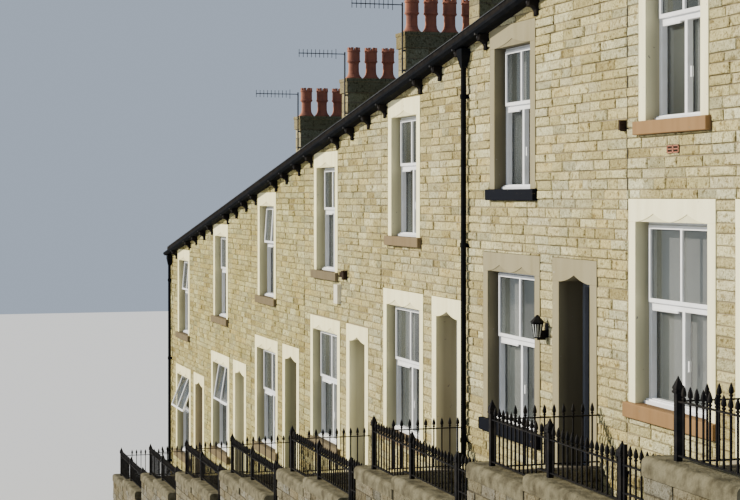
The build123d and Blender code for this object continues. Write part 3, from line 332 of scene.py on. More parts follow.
# The stacks' stone and caps: soot, and painted shade on the faces that look along the street
stack_stone = sandstone(
    "sooted_shaded_sandstone", [tuple(v * 0.70 for v in tint) for tint in SAND], soot=0.45,
    side_soot_and_shade=(0.36, 0.43, 0.52),
)
cap_stone = sandstone(
    "sooted_shaded_cap_stone", [(0.30, 0.27, 0.16)] * 2, soot=0.45, side_soot_and_shade=(0.34, 0.41, 0.50), painted_edge_shade=0.25
)
mortar = plain("lime_mortar", (0.30, 0.255, 0.155), (0.20, 0.165, 0.10), 0.95, 14.0, 0.6, gloss=0.1)
yard_mortar = plain(
    "yard_mortar", (0.075, 0.065, 0.045), (0.05, 0.043, 0.03), 0.95, 14.0, 0.6, gloss=0.1
)
stack_mortar = plain("sooted_mortar", (0.06, 0.05, 0.04), (0.11, 0.09, 0.07), 0.95, 9.0, 0.5)

# Dressed stone, painted differently on each house
CREAM, TAUPE = (0.98, 0.92, 0.54), (0.30, 0.265, 0.16)
SURROUNDS = (
    (0.91, 0.84, 0.48), CREAM, (0.93, 0.86, 0.50), (0.96, 0.90, 0.53), (0.98, 0.92, 0.56), TAUPE,
    (0.99, 0.94, 0.60),
)
SILLS = (
    (0.155, 0.122, 0.070), (0.165, 0.128, 0.072), (0.165, 0.130, 0.074), (0.165, 0.132, 0.078),
    (0.20, 0.148, 0.082), (0.004, 0.005, 0.009), (0.275, 0.165, 0.075),
)
surround_paint = dressed_stone("surround_paint", SURROUNDS)
sill_paint = dressed_stone("sill_paint", SILLS, worn=(0.20, 0.15, 0.09))
coping_stone = dressed_stone(
    "coping_stone", [(0.145, 0.131, 0.085)] * HOUSES, worn=(0.04, 0.037, 0.025), rough=0.9
)
step_stone = dressed_stone("step_stone", [(0.30, 0.27, 0.19)] * HOUSES)

# Joinery
WHITE_PAINT, SHADED_WHITE_GREY = (0.85, 0.86, 0.87), (0.16, 0.17, 0.20)
white_frame = plain(
    "white_window_plastic", (0.93, 0.94, 0.95), (0.84, 0.84, 0.82), 0.32, 5.0, 0.05, coat=0.2
)
# Door frames are white; the sixth house's is painted grey-blue, as painted shade on a white frame
# in its recess
door_frame, door_frame_tree, door_frame_shader = finish("door_frame_paint", 0.5)
door_frame_tree.links.new(
    by_house(door_frame_tree, [WHITE_PAINT] * 5 + [SHADED_WHITE_GREY, WHITE_PAINT]),
    door_frame_shader.inputs["Base Color"],
)
LEAVES = (
    (0.10, 0.015, 0.012), (0.80, 0.81, 0.82), (0.012, 0.035, 0.018), (0.80, 0.81, 0.82),
    (0.09, 0.04, 0.02), (0.012, 0.012, 0.014), (0.012, 0.025, 0.06),
)
door_paints = [
    plain(
        f"door_paint_{number}", colour, tuple(v * 0.8 + 0.02 for v in colour), 0.32, 4.0, 0.06,
        coat=0.3,
    )
    for number, colour in enumerate(LEAVES, 1)
]
rear_door_paint = plain(
    "rear_door_paint", (0.10, 0.03, 0.025), (0.14, 0.05, 0.04), 0.4, 4.0, 0.1, coat=0.2
)
floor_boards = plain("floor_boards", (0.20, 0.12, 0.06), (0.12, 0.075, 0.04), 0.6, 5.0, 0.2)
room_plaster = plain("room_plaster", (0.34, 0.31, 0.26), (0.28, 0.25, 0.21), 0.9, 2.0, 0.2)
blind_louvre = plain("blind_louvre", (0.80, 0.82, 0.80), (0.80, 0.81, 0.78), 0.75, 4.0, 0.1)
glass, glass_tree, glass_shader = finish("window_pane", 0.04, gloss=0.8)
# The panes' tint is painted reflection: dark grey-green patches, lighter and darker with noise
pane_tint_and_reflection = [(0.3, (0.045, 0.052, 0.050)), (0.7, (0.13, 0.145, 0.135))]
glass_tree.links.new(
    ramp(glass_tree, noise(glass_tree, 0.7, 1.0), pane_tint_and_reflection), glass_shader.inputs["Base Color"]
)
glass_shader.inputs["Alpha"].default_value = 0.40

# Roof and rainwater goods
slate_stone = plain("roof_slate", (0.085, 0.092, 0.108), (0.16, 0.165, 0.17), 0.55, 3.0, 0.5)
# The pots' terracotta: soot and painted shade darken the side turned away from the sun
pot_clay = plain(
    "sooted_shaded_terracotta", (0.56, 0.215, 0.105), (0.27, 0.12, 0.08), 0.8, 4.0, 0.4, gloss=0.2,
    soot=((0.94, 0.34, 0), -0.45, 0.20, (0.36, 0.34, 0.42)),
)
ridge_clay = plain("ridge_clay", (0.12, 0.085, 0.07), (0.20, 0.16, 0.13), 0.8, 6.0, 0.4)
lead_sheet = plain(
    "lead_sheet", (0.16, 0.17, 0.185), (0.26, 0.27, 0.28), 0.55, 6.0, 0.3, metallic=0.3
)
dark_timber = plain(
    "dark_eaves_paint", (0.010, 0.009, 0.009), (0.022, 0.019, 0.016), 0.9, 7.0, 0.3, gloss=0.02
)
black_plastic = plain(
    "black_rainwater_plastic", (0.005, 0.006, 0.008), (0.012, 0.012, 0.013), 0.8, 6.0, 0.05,
    gloss=0.02,
)

# Ironwork and fittings
black_iron = plain(
    "black_iron_paint", (0.006, 0.006, 0.007), (0.020, 0.017, 0.014), 0.6, 12.0, 0.2, gloss=0.05
)
aerial_metal = plain(
    "weathered_aluminium", (0.035, 0.036, 0.042), (0.06, 0.055, 0.05), 0.6, 9.0, 0.1, gloss=0.15
)
bright_metal = plain(
    "satin_metal", (0.62, 0.60, 0.56), (0.44, 0.42, 0.38), 0.3, 20.0, 0.05, metallic=0.9
)
lamp_glass = plain("lantern_glass", (0.52, 0.54, 0.52), (0.36, 0.37, 0.34), 0.2, 20.0, 0.05)
alarm_paint = plain("alarm_box_plastic", (0.80, 0.74, 0.55), (0.66, 0.60, 0.44), 0.4, 6.0, 0.05)
grille_clay = plain(
    "air_brick_terracotta", (0.46, 0.19, 0.115), (0.26, 0.12, 0.085), 0.8, 6.0, 0.4, gloss=0.2
)
brown_plastic = plain(
    "brown_vent_plastic", (0.022, 0.013, 0.008), (0.04, 0.028, 0.02), 0.8, 9.0, 0.1, gloss=0.05
)


# Pieces
def mesh_of(name, points, faces, tones=None):
    """A mesh from lists of points and faces, with a tone for each face if it has one."""
    made = bpy.data.meshes.new(name)
    made.from_pydata([tuple(p) for p in points], [], [tuple(f) for f in faces])
    if tones is not None:
        tone = made.attributes.new("tone", "FLOAT", "FACE")
        tone.data.foreach_set("value", np.asarray(tones, np.float32))
    made.update()
    return made


def piece(name, mesh, *materials, body=TERRACE, slot=None, stands_for=()):
    """Put a finished mesh in the scene as a piece of the row."""
    made = in_scene(name, mesh)
    for material in materials:
        mesh.materials.append(material)
    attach(made, body)
    if stands_for:
        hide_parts(*stands_for)


def baked(made):
    """The object's evaluated mesh, with the object itself removed."""
    graph = bpy.context.evaluated_depsgraph_get()
    mesh = bpy.data.meshes.new_from_object(
        made.evaluated_get(graph), preserve_all_data_layers=True, depsgraph=graph
    )
    bpy.data.objects.remove(made)
    return mesh


def through_tree(name, mesh, tree, values):
    """Run a mesh through a Geometry Nodes tree and return the plain mesh that comes out."""
    made = in_scene(name, mesh)
    modifier = made.modifiers.new(name, "NODES")
    modifier.node_group = tree
    for item in tree.interface.items_tree:
        if item.item_type == "SOCKET" and item.in_out == "INPUT" and item.name in values:
            modifier[item.identifier] = values[item.name]
    return baked(made)


def softened(name, source, material, width, carving):
    """A CAD node copied as a clean mesh with its edges eased, which stands for the node.

    carving holds how far a carved face lies behind its stone's, in the node and here, or
    nothing."""
    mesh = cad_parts[source].data.copy()
    shape = bmesh.new()
    shape.from_mesh(mesh)
    bmesh.ops.remove_doubles(shape, verts=shape.verts, dist=0.00002)
    if carving:
        was, now = carving
        for vert in shape.verts:
            reach = abs(vert.co.y - MIDDLE)
            if abs(HALF_DEPTH + PROUD - was - reach) < 0.001:
                vert.co.y = MIDDLE + math.copysign(reach + was - now, vert.co.y - MIDDLE)
    bmesh.ops.dissolve_limit(
        shape, angle_limit=math.radians(1), verts=shape.verts, edges=shape.edges
    )
    shape.to_mesh(mesh)
    shape.free()
    mesh.materials.clear()
    made = in_scene(name, mesh)
    bevel = made.modifiers.new("eased", "BEVEL")
    bevel.width = width
    bevel.segments = 2
    bevel.limit_method = "ANGLE"
    bevel.angle_limit = math.radians(35)
    piece(name, baked(made), material, slot=source, stands_for=(source,))


def dress(material, *names):
    """Give CAD nodes their material."""
    for name in names:
        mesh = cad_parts[name].data
        mesh.materials.clear()
        mesh.materials.append(material)


# Geometry Nodes trees
def socket(tree, name, kind, value=None, direction="INPUT"):
    """An input or output of a tree."""
    made = tree.interface.new_socket(name, in_out=direction, socket_type=kind)
    if value is not None:
        made.default_value = value


def open_tree(name, sizes, *others):
    """A tree that takes geometry, sizes, other inputs and a finish, and the sockets of those."""
    tree = bpy.data.node_groups.new(name, "GeometryNodeTree")
    socket(tree, "Geometry", "NodeSocketGeometry")
    socket(tree, "Geometry", "NodeSocketGeometry", direction="OUTPUT")
    for label, value in sizes:
        socket(tree, label, "NodeSocketFloat", value)
    for label, kind in others:
        socket(tree, label, kind)
    socket(tree, "Finish", "NodeSocketMaterial")
    return tree, node(tree, "NodeGroupInput").outputs


def close_tree(tree, geometry, source):
    """End a tree with real geometry in the finish of its Finish input."""
    real = node(tree, "GeometryNodeRealizeInstances", {"Geometry": geometry})
    coated = node(
        tree, "GeometryNodeSetMaterial",
        {"Geometry": real.outputs["Geometry"], "Material": source["Finish"]},
    )
    tree.links.new(coated.outputs["Geometry"], node(tree, "NodeGroupOutput").inputs["Geometry"])
    return tree


# Stones: each starts as a flat face on the wall and is worked to a rough cushion in three rings.
# A ring has its share of the relief, how far it narrows, its share of the roughness, and how near
# the stone's middle it counts as for the painted shade at its edges.
RINGS = ((0.50, 0.985, 0.30, 0.15), (0.32, 0.91, 0.9, 0.45), (0.18, 0.68, 1.3, 0.8))
WALL_RELIEF, WALL_ROUGHNESS, CHIP_SCALE = 0.024, 0.024, 13.0


def stone_tree():
    """Extrude each face in three rings that narrow towards the middle, and roughen the rings."""
    tree, source = open_tree("rock_faced_stones", (
        ("Relief", WALL_RELIEF), ("Roughness", WALL_ROUGHNESS), ("Chip scale", CHIP_SCALE),
    ))
    where = node(tree, "GeometryNodeInputPosition").outputs["Position"]
    tone = node(
        tree, "GeometryNodeInputNamedAttribute", {"Name": "tone"}, data_type="FLOAT"
    ).outputs["Attribute"]
    lot = maths(tree, "FRACT", maths(tree, "MULTIPLY", tone, 7.31))
    proud = spread_out(tree, lot, To_Min=0.45, To_Max=1.35)
    proud = maths(tree, "MULTIPLY", source["Relief"], proud)
    chips = node(
        tree, "ShaderNodeTexNoise",
        {"Vector": where, "Scale": source["Chip scale"], "Detail": 2.0},
    )
    centred = node(
        tree, "ShaderNodeVectorMath", {0: chips.outputs["Color"], 1: (0.5, 0.5, 0.5)},
        operation="SUBTRACT",
    ).outputs[0]
    geometry, top = source["Geometry"], None
    for share, narrowing, shake, inward in RINGS:
        ring = node(tree, "GeometryNodeExtrudeMesh", {
            "Mesh": geometry, "Offset Scale": maths(tree, "MULTIPLY", proud, share),
            "Individual": True,
        })
        if top:
            tree.links.new(top, ring.inputs["Selection"])
        top = ring.outputs["Top"]
        shrunk = node(
            tree, "GeometryNodeScaleElements",
            {"Geometry": ring.outputs["Mesh"], "Selection": top, "Scale": narrowing},
        )
        amount = maths(tree, "MULTIPLY", source["Roughness"], shake)
        offset = node(
            tree, "ShaderNodeVectorMath", {0: centred, "Scale": amount}, operation="SCALE"
        ).outputs[0]
        moved = node(
            tree, "GeometryNodeSetPosition",
            {"Geometry": shrunk.outputs["Geometry"], "Selection": top, "Offset": offset},
        )
        kept = node(
            tree, "GeometryNodeStoreNamedAttribute",
            {
                "Geometry": moved.outputs["Geometry"], "Selection": top, "Name": "middle",
                "Value": inward,
            },
            data_type="FLOAT", domain="POINT",
        )
        geometry = kept.outputs["Geometry"]
    return close_tree(tree, geometry, source)


rock_faced = stone_tree()
COURSE = 0.110
JOINT = 0.006             # between courses; half of it between the stones of a course
BED = 0.003               # how deep a stone's edge sits in the mortar
BREAK = 0.010             # from a straight joint to the stones beside it
THINNEST, NARROWEST = 0.018, 0.03      # smaller strips round an opening are left out
SHORTEST = 0.1            # a shorter course isn't laid
TOUCH = 0.003             # how far an opening reaches into a course before the course stops at it
RAGGED = 0.005            # how far a stone's corner may lie inside its place


def lay_courses(seed, left, right, foot, head, course=COURSE, lengths=(0.23, 0.56), holes=(),
                rake=None, breaks=()):
    """Stones of a wall as (left, right, foot, head, tone), in courses round its openings.

    rake gives the places along the wall where a course under that height may start and end, and
    breaks are the places of the wall's straight joints."""
    chance = random.Random(seed)
    stones = []
    rows = max(1, round((head - foot) / course))
    edges = [foot + (head - foot) * row / rows for row in range(rows + 1)]
    for row in range(1, rows):
        edges[row] += chance.uniform(-0.07, 0.07) * course
    for low, high in zip(edges, edges[1:]):
        start, end = rake(high) if rake else (left, right)
        if end - start < SHORTEST:
            continue
        cuts = {start, end, *(mark for mark in breaks if start < mark < end)}
        met = [hole for hole in holes if hole[2] < high - TOUCH and hole[3] > low + TOUCH]
        for hole_left, hole_right, *_ in met:
            cuts |= {min(max(hole_left, start), end), min(max(hole_right, start), end)}
        cuts = sorted(cuts)
        for a, b in zip(cuts, cuts[1:]):
            bottom, top = low, high
            middle = (a + b) / 2
            for hole_left, hole_right, low_edge, high_edge in met:
                if hole_left < middle < hole_right:
                    if low_edge > low:
                        top = min(top, low_edge)
                    elif high_edge < high:
                        bottom = max(bottom, high_edge)
                    else:
                        top = bottom
            if top - bottom < THINNEST or b - a < NARROWEST:
                continue
            a += BREAK if a in breaks else 0
            b -= BREAK if b in breaks else 0
            where = a
            while where < b - 0.001:
                length = chance.uniform(*lengths)
                rest = b - where
                if rest - length < lengths[0] * 0.8:
                    # The next one would be too short: one stone, or two alike, fill the rest
                    length = rest if rest < lengths[1] * 1.25 else rest / 2
                stones.append((
                    where + JOINT / 4, where + length - JOINT / 4, bottom + JOINT / 2,
                    top - JOINT / 2, chance.random(),
                ))
                where += length
    return stones


def lay_stones(name, walls, material, slot, relief=WALL_RELIEF, roughness=WALL_ROUGHNESS):
    """A piece of rough stones. A wall is (stones, function from (along, up) to a point, flip)."""
    chance = random.Random(3)
    points, faces, tones = [], [], []
    for stones, spot, flip in walls:
        for left, right, foot, head, tone in stones:
            first = len(points)
            points += [
                spot(
                    along + chance.uniform(0, RAGGED) * inwards,
                    height + chance.uniform(0, RAGGED) * upwards,
                )
                for along, height, inwards, upwards in (
                    (left, foot, 1, 1), (right, foot, -1, 1), (right, head, -1, -1),
                    (left, head, 1, -1),
                )
            ]
            order = [first, first + 1, first + 2, first + 3]
            faces.append(order[::-1] if flip else order)
            tones.append(tone)
    flat = mesh_of(name, points, faces, tones)
    piece(name, through_tree(name, flat, rock_faced, {
        "Relief": relief, "Roughness": roughness, "Chip scale": CHIP_SCALE, "Finish": material,
    }), slot=slot)


# Fittings that the courses stop at: house, middle along it and over its lintels, width, height
AIR_BRICK = (6, 1.555, 0.51, 0.265, 0.08)
LOWER_AIR_BRICK = (3, 2.54, 0.80, 0.265, 0.08)
ALARM_BOX = (3, 2.40, 0.465, 0.24, 0.34)
LANTERN_PLATE = (5, 2.655, -0.88, 0.09, 0.17)


def wall_holes():
    """Openings, dressed stone and fittings that the courses of the front and rear stop at."""
    found = []
    for x, z in homes:
        for left, right, foot, head in (WINDOW, UPPER, DOOR):
            found.append((x + left, x + right, z + foot, z + head))
        for (left, right, foot, _), thick in ((WINDOW, GROUND_SILL), (UPPER, UPPER_SILL)):
            found.append((
                x + left - SILL_REACH, x + right + SILL_REACH, z + foot, z + foot + thick
            ))
    for house, along, height, wide, tall in (
        AIR_BRICK, LOWER_AIR_BRICK, ALARM_BOX, LANTERN_PLATE
    ):
        x, z = homes[house]
        found.append((
            x + along - wide / 2, x + along + wide / 2, z + height - tall / 2,
            z + height + tall / 2,
        ))
    return found


def under_eaves(high):
    """Start and end of a course under the raked eaves."""
    return max(-END, min((high - EAVES - TUCKED) / RAKE, LENGTH + END)), LENGTH + END


# Straight joints of the front, as house and place along it
STRAIGHT_JOINTS = tuple(
    k * PITCH + along for k, along in ((6, 0.481), (4, 0.396), (3, 0.07), (2, 0.155))
)
TALLEST = EAVES + TUCKED + (LENGTH + END) * RAKE
front_stones = lay_courses(
    11, -END, LENGTH + END, GROUND, TALLEST, holes=wall_holes(), rake=under_eaves,
    breaks=STRAIGHT_JOINTS,
)
rear_stones = lay_courses(
    12, -END, LENGTH + END, GROUND, TALLEST, holes=wall_holes(), rake=under_eaves
)
lay_stones(
    "front_wall_stones", [(front_stones, lambda u, v: place(u, v, -BED), False)], wall_stone,
    "storey_walls",
)
lay_stones(
    "rear_wall_stones", [(rear_stones, lambda u, v: place(u, v, -DEPTH + BED), True)], wall_stone,
    "storey_walls",
)


GABLE_TUCKED = 0.03       # the courses' reach over the foot of the roof boards
STACK_SUNK = 0.1          # how far the stacks' stones start below the slates


def gable(line_height):
    """What gives a course its ends under the roof slopes of an end wall."""
    def bounds(high):
        """The start and end of the course under this height."""
        start = max(0.0, (high - line_height - GABLE_TUCKED) / SLOPE)
        return start, DEPTH - start
    return bounds


gables = []
for number, (along, out) in enumerate(((-END, 1), (LENGTH + END, -1))):
    seat = EAVES + ROOF_SEAT + along * RAKE
    stones = lay_courses(
        20 + number, 0, DEPTH, GROUND, seat + SLOPE * HALF_DEPTH, rake=gable(seat)
    )
    gables.append((
        stones,
        lambda u, v, face=LOW_X + along + out * BED: (face, FACADE_Y + u, LINTELS + v),
        out > 0,
    ))
lay_stones("end_wall_stones", gables, wall_stone, "end_walls")

# Yard walls: start, end and top of each length along the street, over its house's line
LOW_WALL, HIGH_WALL, GATE_BASE = (-0.58, 1.09, -3.10), (1.09, 2.99, -2.975), (2.99, 3.82, -3.10)
WALL_HALF = 0.15
DIVIDER_SIDES = (-0.285, -0.125)
DIVIDER_REACH = YARD - 0.18
DIVIDER_TOP = -2.99
yard_walls = []
for number, (x, z) in enumerate(lines):
    spans = [LOW_WALL] if number == HOUSES else [LOW_WALL, HIGH_WALL, GATE_BASE]
    for part, (left, right, top) in enumerate(spans):
        for side, (out, flip) in enumerate((
            (YARD + WALL_HALF - BED, False), (YARD - WALL_HALF + BED, True),
        )):
            stones = lay_courses(
                100 + 10 * number + 2 * part + side, x + left, x + right, GROUND, z + top,
                course=0.14, lengths=(0.22, 0.55),
            )
            yard_walls.append((stones, lambda u, v, out=out: place(u, v, out), flip))
    low_side, high_side = DIVIDER_SIDES
    for side, (across, flip) in enumerate(((low_side + BED, True), (high_side - BED, False))):
        stones = lay_courses(
            200 + 2 * number + side, 0.0, DIVIDER_REACH, GROUND, z + DIVIDER_TOP, course=0.15,
            lengths=(0.22, 0.5),
        )
        yard_walls.append((
            stones,
            lambda u, v, at=LOW_X + x + across: (at, FACADE_Y - DIVIDER_REACH + u, LINTELS + v),
            flip,
        ))
lay_stones("yard_wall_stones", yard_walls, yard_stone, "garden_walls", 0.022, 0.016)

# Chimney stacks
near, far = HALF_DEPTH - STACK_HALF, HALF_DEPTH + STACK_HALF
stack_walls = []
for number, (x, z) in enumerate(lines):
    foot = ROOF_TOP + z + SLOPE * near - STACK_SUNK
    low_face, high_face = LOW_X + x - STACK_SIDE + BED, LOW_X + x + STACK_SIDE - BED
    for side, (left, right, spot, flip) in enumerate((
        (-STACK_SIDE, STACK_SIDE, lambda u, v, x=x: place(x + u, v, -near - BED), False),
        (-STACK_SIDE, STACK_SIDE, lambda u, v, x=x: place(x + u, v, -far + BED), True),
        (near, far, lambda u, v, at=low_face: (at, FACADE_Y + u, LINTELS + v), True),
        (near, far, lambda u, v, at=high_face: (at, FACADE_Y + u, LINTELS + v), False),
    )):
        stones = lay_courses(
            300 + 4 * number + side, left, right, foot, z + STACK_TOP, course=0.22,
            lengths=(0.26, 0.6),
        )
        stack_walls.append((stones, spot, flip))
lay_stones("chimney_stones", stack_walls, stack_stone, "chimney_stacks", 0.014, 0.01)

# The solids' own finishes
dress(
    mortar, "party_piers", "window_piers", "window_aprons", "door_bases", "storey_walls",
    "upper_piers", "wall_heads", "end_walls",
)
dress(yard_mortar, "garden_walls", "divider_walls")
dress(stack_mortar, "chimney_stacks")
dress(room_plaster, "party_walls")
dress(floor_boards, "ground_floors", "upper_floors")
dress(glass, "window_glass")
dress(dark_timber, "front_roof_slope", "rear_roof_slope", "gutter_boards")
dress(black_plastic, "downpipes")
dress(aerial_metal, "tv_aerials")
dress(
    black_iron, "street_railings", "divider_railings", "wall_lantern",
    *(f"gate_{number}" for number in range(1, HOUSES + 1)),
)
dress(brown_plastic, "air_bricks")
dress(alarm_paint, "alarm_box")
dress(rear_door_paint, "rear_doors")
for number, paint in enumerate(door_paints, 1):
    dress(paint, f"front_door_{number}")

# Solids whose edges are eased by a width; the lintels' carving is made shallower too
for name, source, material, width, *carving in (
    ("window_jamb_stones", "window_jambs", surround_paint, 0.006),
    ("window_lintel_stones", "window_lintels", surround_paint, 0.003, 0.018, 0.008),
    ("window_sill_stones", "window_sills", sill_paint, 0.010),
    ("door_jamb_stones", "door_jambs", surround_paint, 0.006),
    ("door_lintel_stones", "door_lintels", surround_paint, 0.005),
    ("door_sill_stones", "door_sills", step_stone, 0.014),
    ("gate_sill_stones", "gate_sills", step_stone, 0.012),
    ("coping_stones", "garden_copings", coping_stone, 0.012),
    ("chimney_cap_stones", "chimney_caps", cap_stone, 0.018),
    ("window_frame_bars", "window_frames", white_frame, 0.006),
    ("top_light_bars", "top_lights", white_frame, 0.006),
    ("door_post_bars", "door_posts", door_frame, 0.004),
    ("door_head_bars", "door_heads", door_frame, 0.004),
    ("eaves_brackets", "eaves_corbels", dark_timber, 0.008),
    ("gutter_runs", "gutters", black_plastic, 0.002),
    ("ridge_runs", "ridge_tiles", ridge_clay, 0.006),
):
    softened(name, source, material, width, carving)


# Shapes built from sizes
class Shape:
    """Points and faces gathered for one mesh."""

    def __init__(self):
        self.points, self.faces = [], []

    def box(self, low, high):
        """A box between two corners."""
        first = len(self.points)
        self.points += [
            (x, y, z) for x in (low[0], high[0]) for y in (low[1], high[1])
            for z in (low[2], high[2])
        ]
        for quad in (
            (0, 1, 3, 2), (4, 6, 7, 5), (0, 4, 5, 1), (2, 3, 7, 6), (0, 2, 6, 4), (1, 5, 7, 3),
        ):
            self.faces.append([first + corner for corner in quad])

    def fitted(self, home, left, right, foot, head, back, front):
        """A block on a facade, by its place along its house, over its lintels and before it."""
        x, z = home
        self.box(place(x + left, z + foot, front), place(x + right, z + head, back))

    def turned(self, profile, sides, twist=0.0):
        """A shape turned round an upright axis from (radius, height) pairs, closed at its ends."""
        first = len(self.points)
        for radius, height in profile:
            for side in range(sides):
                angle = 2 * math.pi * side / sides + twist
                self.points.append((radius * math.cos(angle), radius * math.sin(angle), height))
        for ring in range(len(profile) - 1):
            for side in range(sides):
                near = first + ring * sides + side
                far = first + ring * sides + (side + 1) % sides
                self.faces.append((near, far, far + sides, near + sides))
        last = first + (len(profile) - 1) * sides
        self.faces.append([first + side for side in reversed(range(sides))])
        self.faces.append([last + side for side in range(sides)])
        return self

    def arc_block(self, inner, outer, foot, head, start, end):
        """A block that follows a part of a circle."""
        first, steps = len(self.points), 3
        for step in range(steps + 1):
            angle = start + (end - start) * step / steps
            for radius, height in ((inner, foot), (outer, foot), (outer, head), (inner, head)):
                self.points.append((radius * math.cos(angle), radius * math.sin(angle), height))
        for step in range(steps):
            near = first + 4 * step
            for corner in range(4):
                after = (corner + 1) % 4
                quad = (near + corner, near + 4 + corner, near + 4 + after, near + after)
                self.faces.append(quad[::-1])
        self.faces.append([first + corner for corner in range(4)])
        self.faces.append([first + 4 * steps + corner for corner in (3, 2, 1, 0)])

    def prism(self, outline, start, end, rise=0.0):
        """An upright outline of (y, z) points run along the row from start to end, which may
        climb."""
        first, count = len(self.points), len(outline)
        for x, lift in ((start, 0.0), (end, rise)):
            self.points += [(x, y, z + lift) for y, z in outline]
        for corner in range(count):
            after = (corner + 1) % count
            self.faces.append((
                first + corner, first + after, first + count + after, first + count + corner
            ))
        self.faces.append([first + corner for corner in reversed(range(count))])
        self.faces.append([first + count + corner for corner in range(count)])

    def mesh(self, name):
        """The mesh, with its faces turned outwards."""
        made = mesh_of(name, self.points, self.faces)
        shape = bmesh.new()
        shape.from_mesh(made)
        bmesh.ops.recalc_face_normals(shape, faces=shape.faces)
        shape.to_mesh(made)
        shape.free()
        return made


def set_out_tree():
    """Put a shape on each point and make it real."""
    tree, source = open_tree("shapes_on_points", (), ("Shape", "NodeSocketObject"))
    shape = node(tree, "GeometryNodeObjectInfo", {"Object": source["Shape"], "As Instance": True})
    placed = node(
        tree, "GeometryNodeInstanceOnPoints",
        {"Points": source["Geometry"], "Instance": shape.outputs["Geometry"]},
    )
    return close_tree(tree, placed.outputs["Instances"], source)


shapes_on_points = set_out_tree()


def repeated(name, shape, points, material, slot, body=TERRACE, stands_for=()):
    """A piece made of one shape put on many points."""
    pattern = bpy.data.objects.new(name + "_pattern", shape.mesh(name + "_pattern"))
    mesh = through_tree(
        name, mesh_of(name, points, []), shapes_on_points, {"Shape": pattern, "Finish": material}
    )
    bpy.data.objects.remove(pattern)
    piece(name, mesh, body=body, slot=slot, stands_for=stands_for)


# Crowned chimney pots: four on each stack
POT_SEAT = STACK_TOP + 0.34
POTS, POT_GAP = 4, 0.43
TEETH = 8
crowned_pot = Shape().turned([
    (0.195, 0.0), (0.195, 0.03), (0.165, 0.06), (0.138, 0.11), (0.126, 0.18), (0.124, 0.36),
    (0.140, 0.395), (0.160, 0.405), (0.160, 0.435), (0.148, 0.445), (0.146, 0.64), (0.160, 0.65),
    (0.160, 0.68), (0.152, 0.69), (0.116, 0.69), (0.104, 0.05),
], 24)
for tooth in range(TEETH):
    start = 2 * math.pi * tooth / TEETH
    crowned_pot.arc_block(0.118, 0.153, 0.68, 0.75, start, start + 0.46)
repeated(
    "chimney_pot_shells", crowned_pot,
    [
        place(x, z + POT_SEAT, -(HALF_DEPTH + (number - (POTS - 1) / 2) * POT_GAP))
        for x, z in lines for number in range(POTS)
    ],
    pot_clay, "chimney_pots", stands_for=("chimney_pots",),
)

# Spear heads and post caps: places along a house, and heights over its lintels
DIVIDER_POST, STEP_POST, GATE_POST = -0.24, 1.38, 3.058
LOW_RAIL_END = LOW_WALL[1]
POST_WIDE, PICKET_GAP = 0.056, 0.115
TIP, POST_TIP, GATE_TIP = -2.275, -2.205, -2.23
HINGE_GAP, LATCH_GAP, GATE_STILE = 0.018, 0.012, 0.03
spear = Shape().turned([
    (0.006, -0.128), (0.019, -0.121), (0.019, -0.110), (0.010, -0.101), (0.022, -0.092),
    (0.0245, -0.074), (0.020, -0.048), (0.011, -0.020), (0.001, 0.002),
], 8)
post_cap = Shape().turned([
    (0.040, -0.150), (0.058, -0.143), (0.058, -0.128), (0.046, -0.118), (0.055, -0.104),
    (0.054, -0.095), (0.001, 0.002),
], 4, twist=math.pi / 4)


def pickets(first, last):
    """Middles of the bars between two places."""
    count = int((last - first) // PICKET_GAP)
    return [
        (first + last) / 2 + PICKET_GAP * (number - (count - 1) / 2) for number in range(count)
    ]


spear_points, cap_points = [], []
for number, (x, z) in enumerate(lines):
    runs = [(DIVIDER_POST + POST_WIDE / 2, LOW_RAIL_END)]
    posts = [DIVIDER_POST]
    if number < HOUSES:
        runs += [
            (LOW_RAIL_END, STEP_POST - POST_WIDE / 2),
            (STEP_POST + POST_WIDE / 2, GATE_POST - POST_WIDE / 2),
        ]
        posts += [STEP_POST, GATE_POST]
    spear_points += [
        place(x + along, z + TIP, YARD) for run in runs for along in pickets(*run)
    ]
    spear_points += [
        place(x + DIVIDER_POST, z + TIP, DIVIDER_REACH - out) for out in pickets(0, DIVIDER_REACH)
    ]
    cap_points += [place(x + along, z + POST_TIP, YARD) for along in posts]
repeated("railing_spears", spear, spear_points, black_iron, "street_railings")
repeated("railing_post_caps", post_cap, cap_points, black_iron, "street_railings")
gate_bars = pickets(
    GATE_POST + POST_WIDE / 2 + HINGE_GAP + GATE_STILE,
    PITCH + LOW_WALL[0] - LATCH_GAP - GATE_STILE,
)
for number, (x, z) in enumerate(homes, 1):
    repeated(
        f"gate_spears_{number}", spear,
        [place(x + along, z + GATE_TIP, YARD) for along in gate_bars], black_iron,
        f"gate_{number}", body=f"yard_gate_{number}",
    )

# Grille of the upper air brick: shares of its width and height
grille = Shape()
house, middle, level, wide, tall = AIR_BRICK
for left, right, foot, head in (
    (-0.5, 0.5, 0.36, 0.5), (-0.5, 0.5, -0.5, -0.36), (-0.5, 0.5, -0.06, 0.06),
    (-0.5, -0.44, -0.5, 0.5), (0.44, 0.5, -0.5, 0.5), (-0.04, 0.04, -0.5, 0.5),
):
    grille.fitted(
        homes[house], middle + left * wide, middle + right * wide, level + foot * tall,
        level + head * tall, 0.012, 0.018,
    )
piece("air_brick_grilles", grille.mesh("air_brick_grilles"), grille_clay, slot="air_bricks")

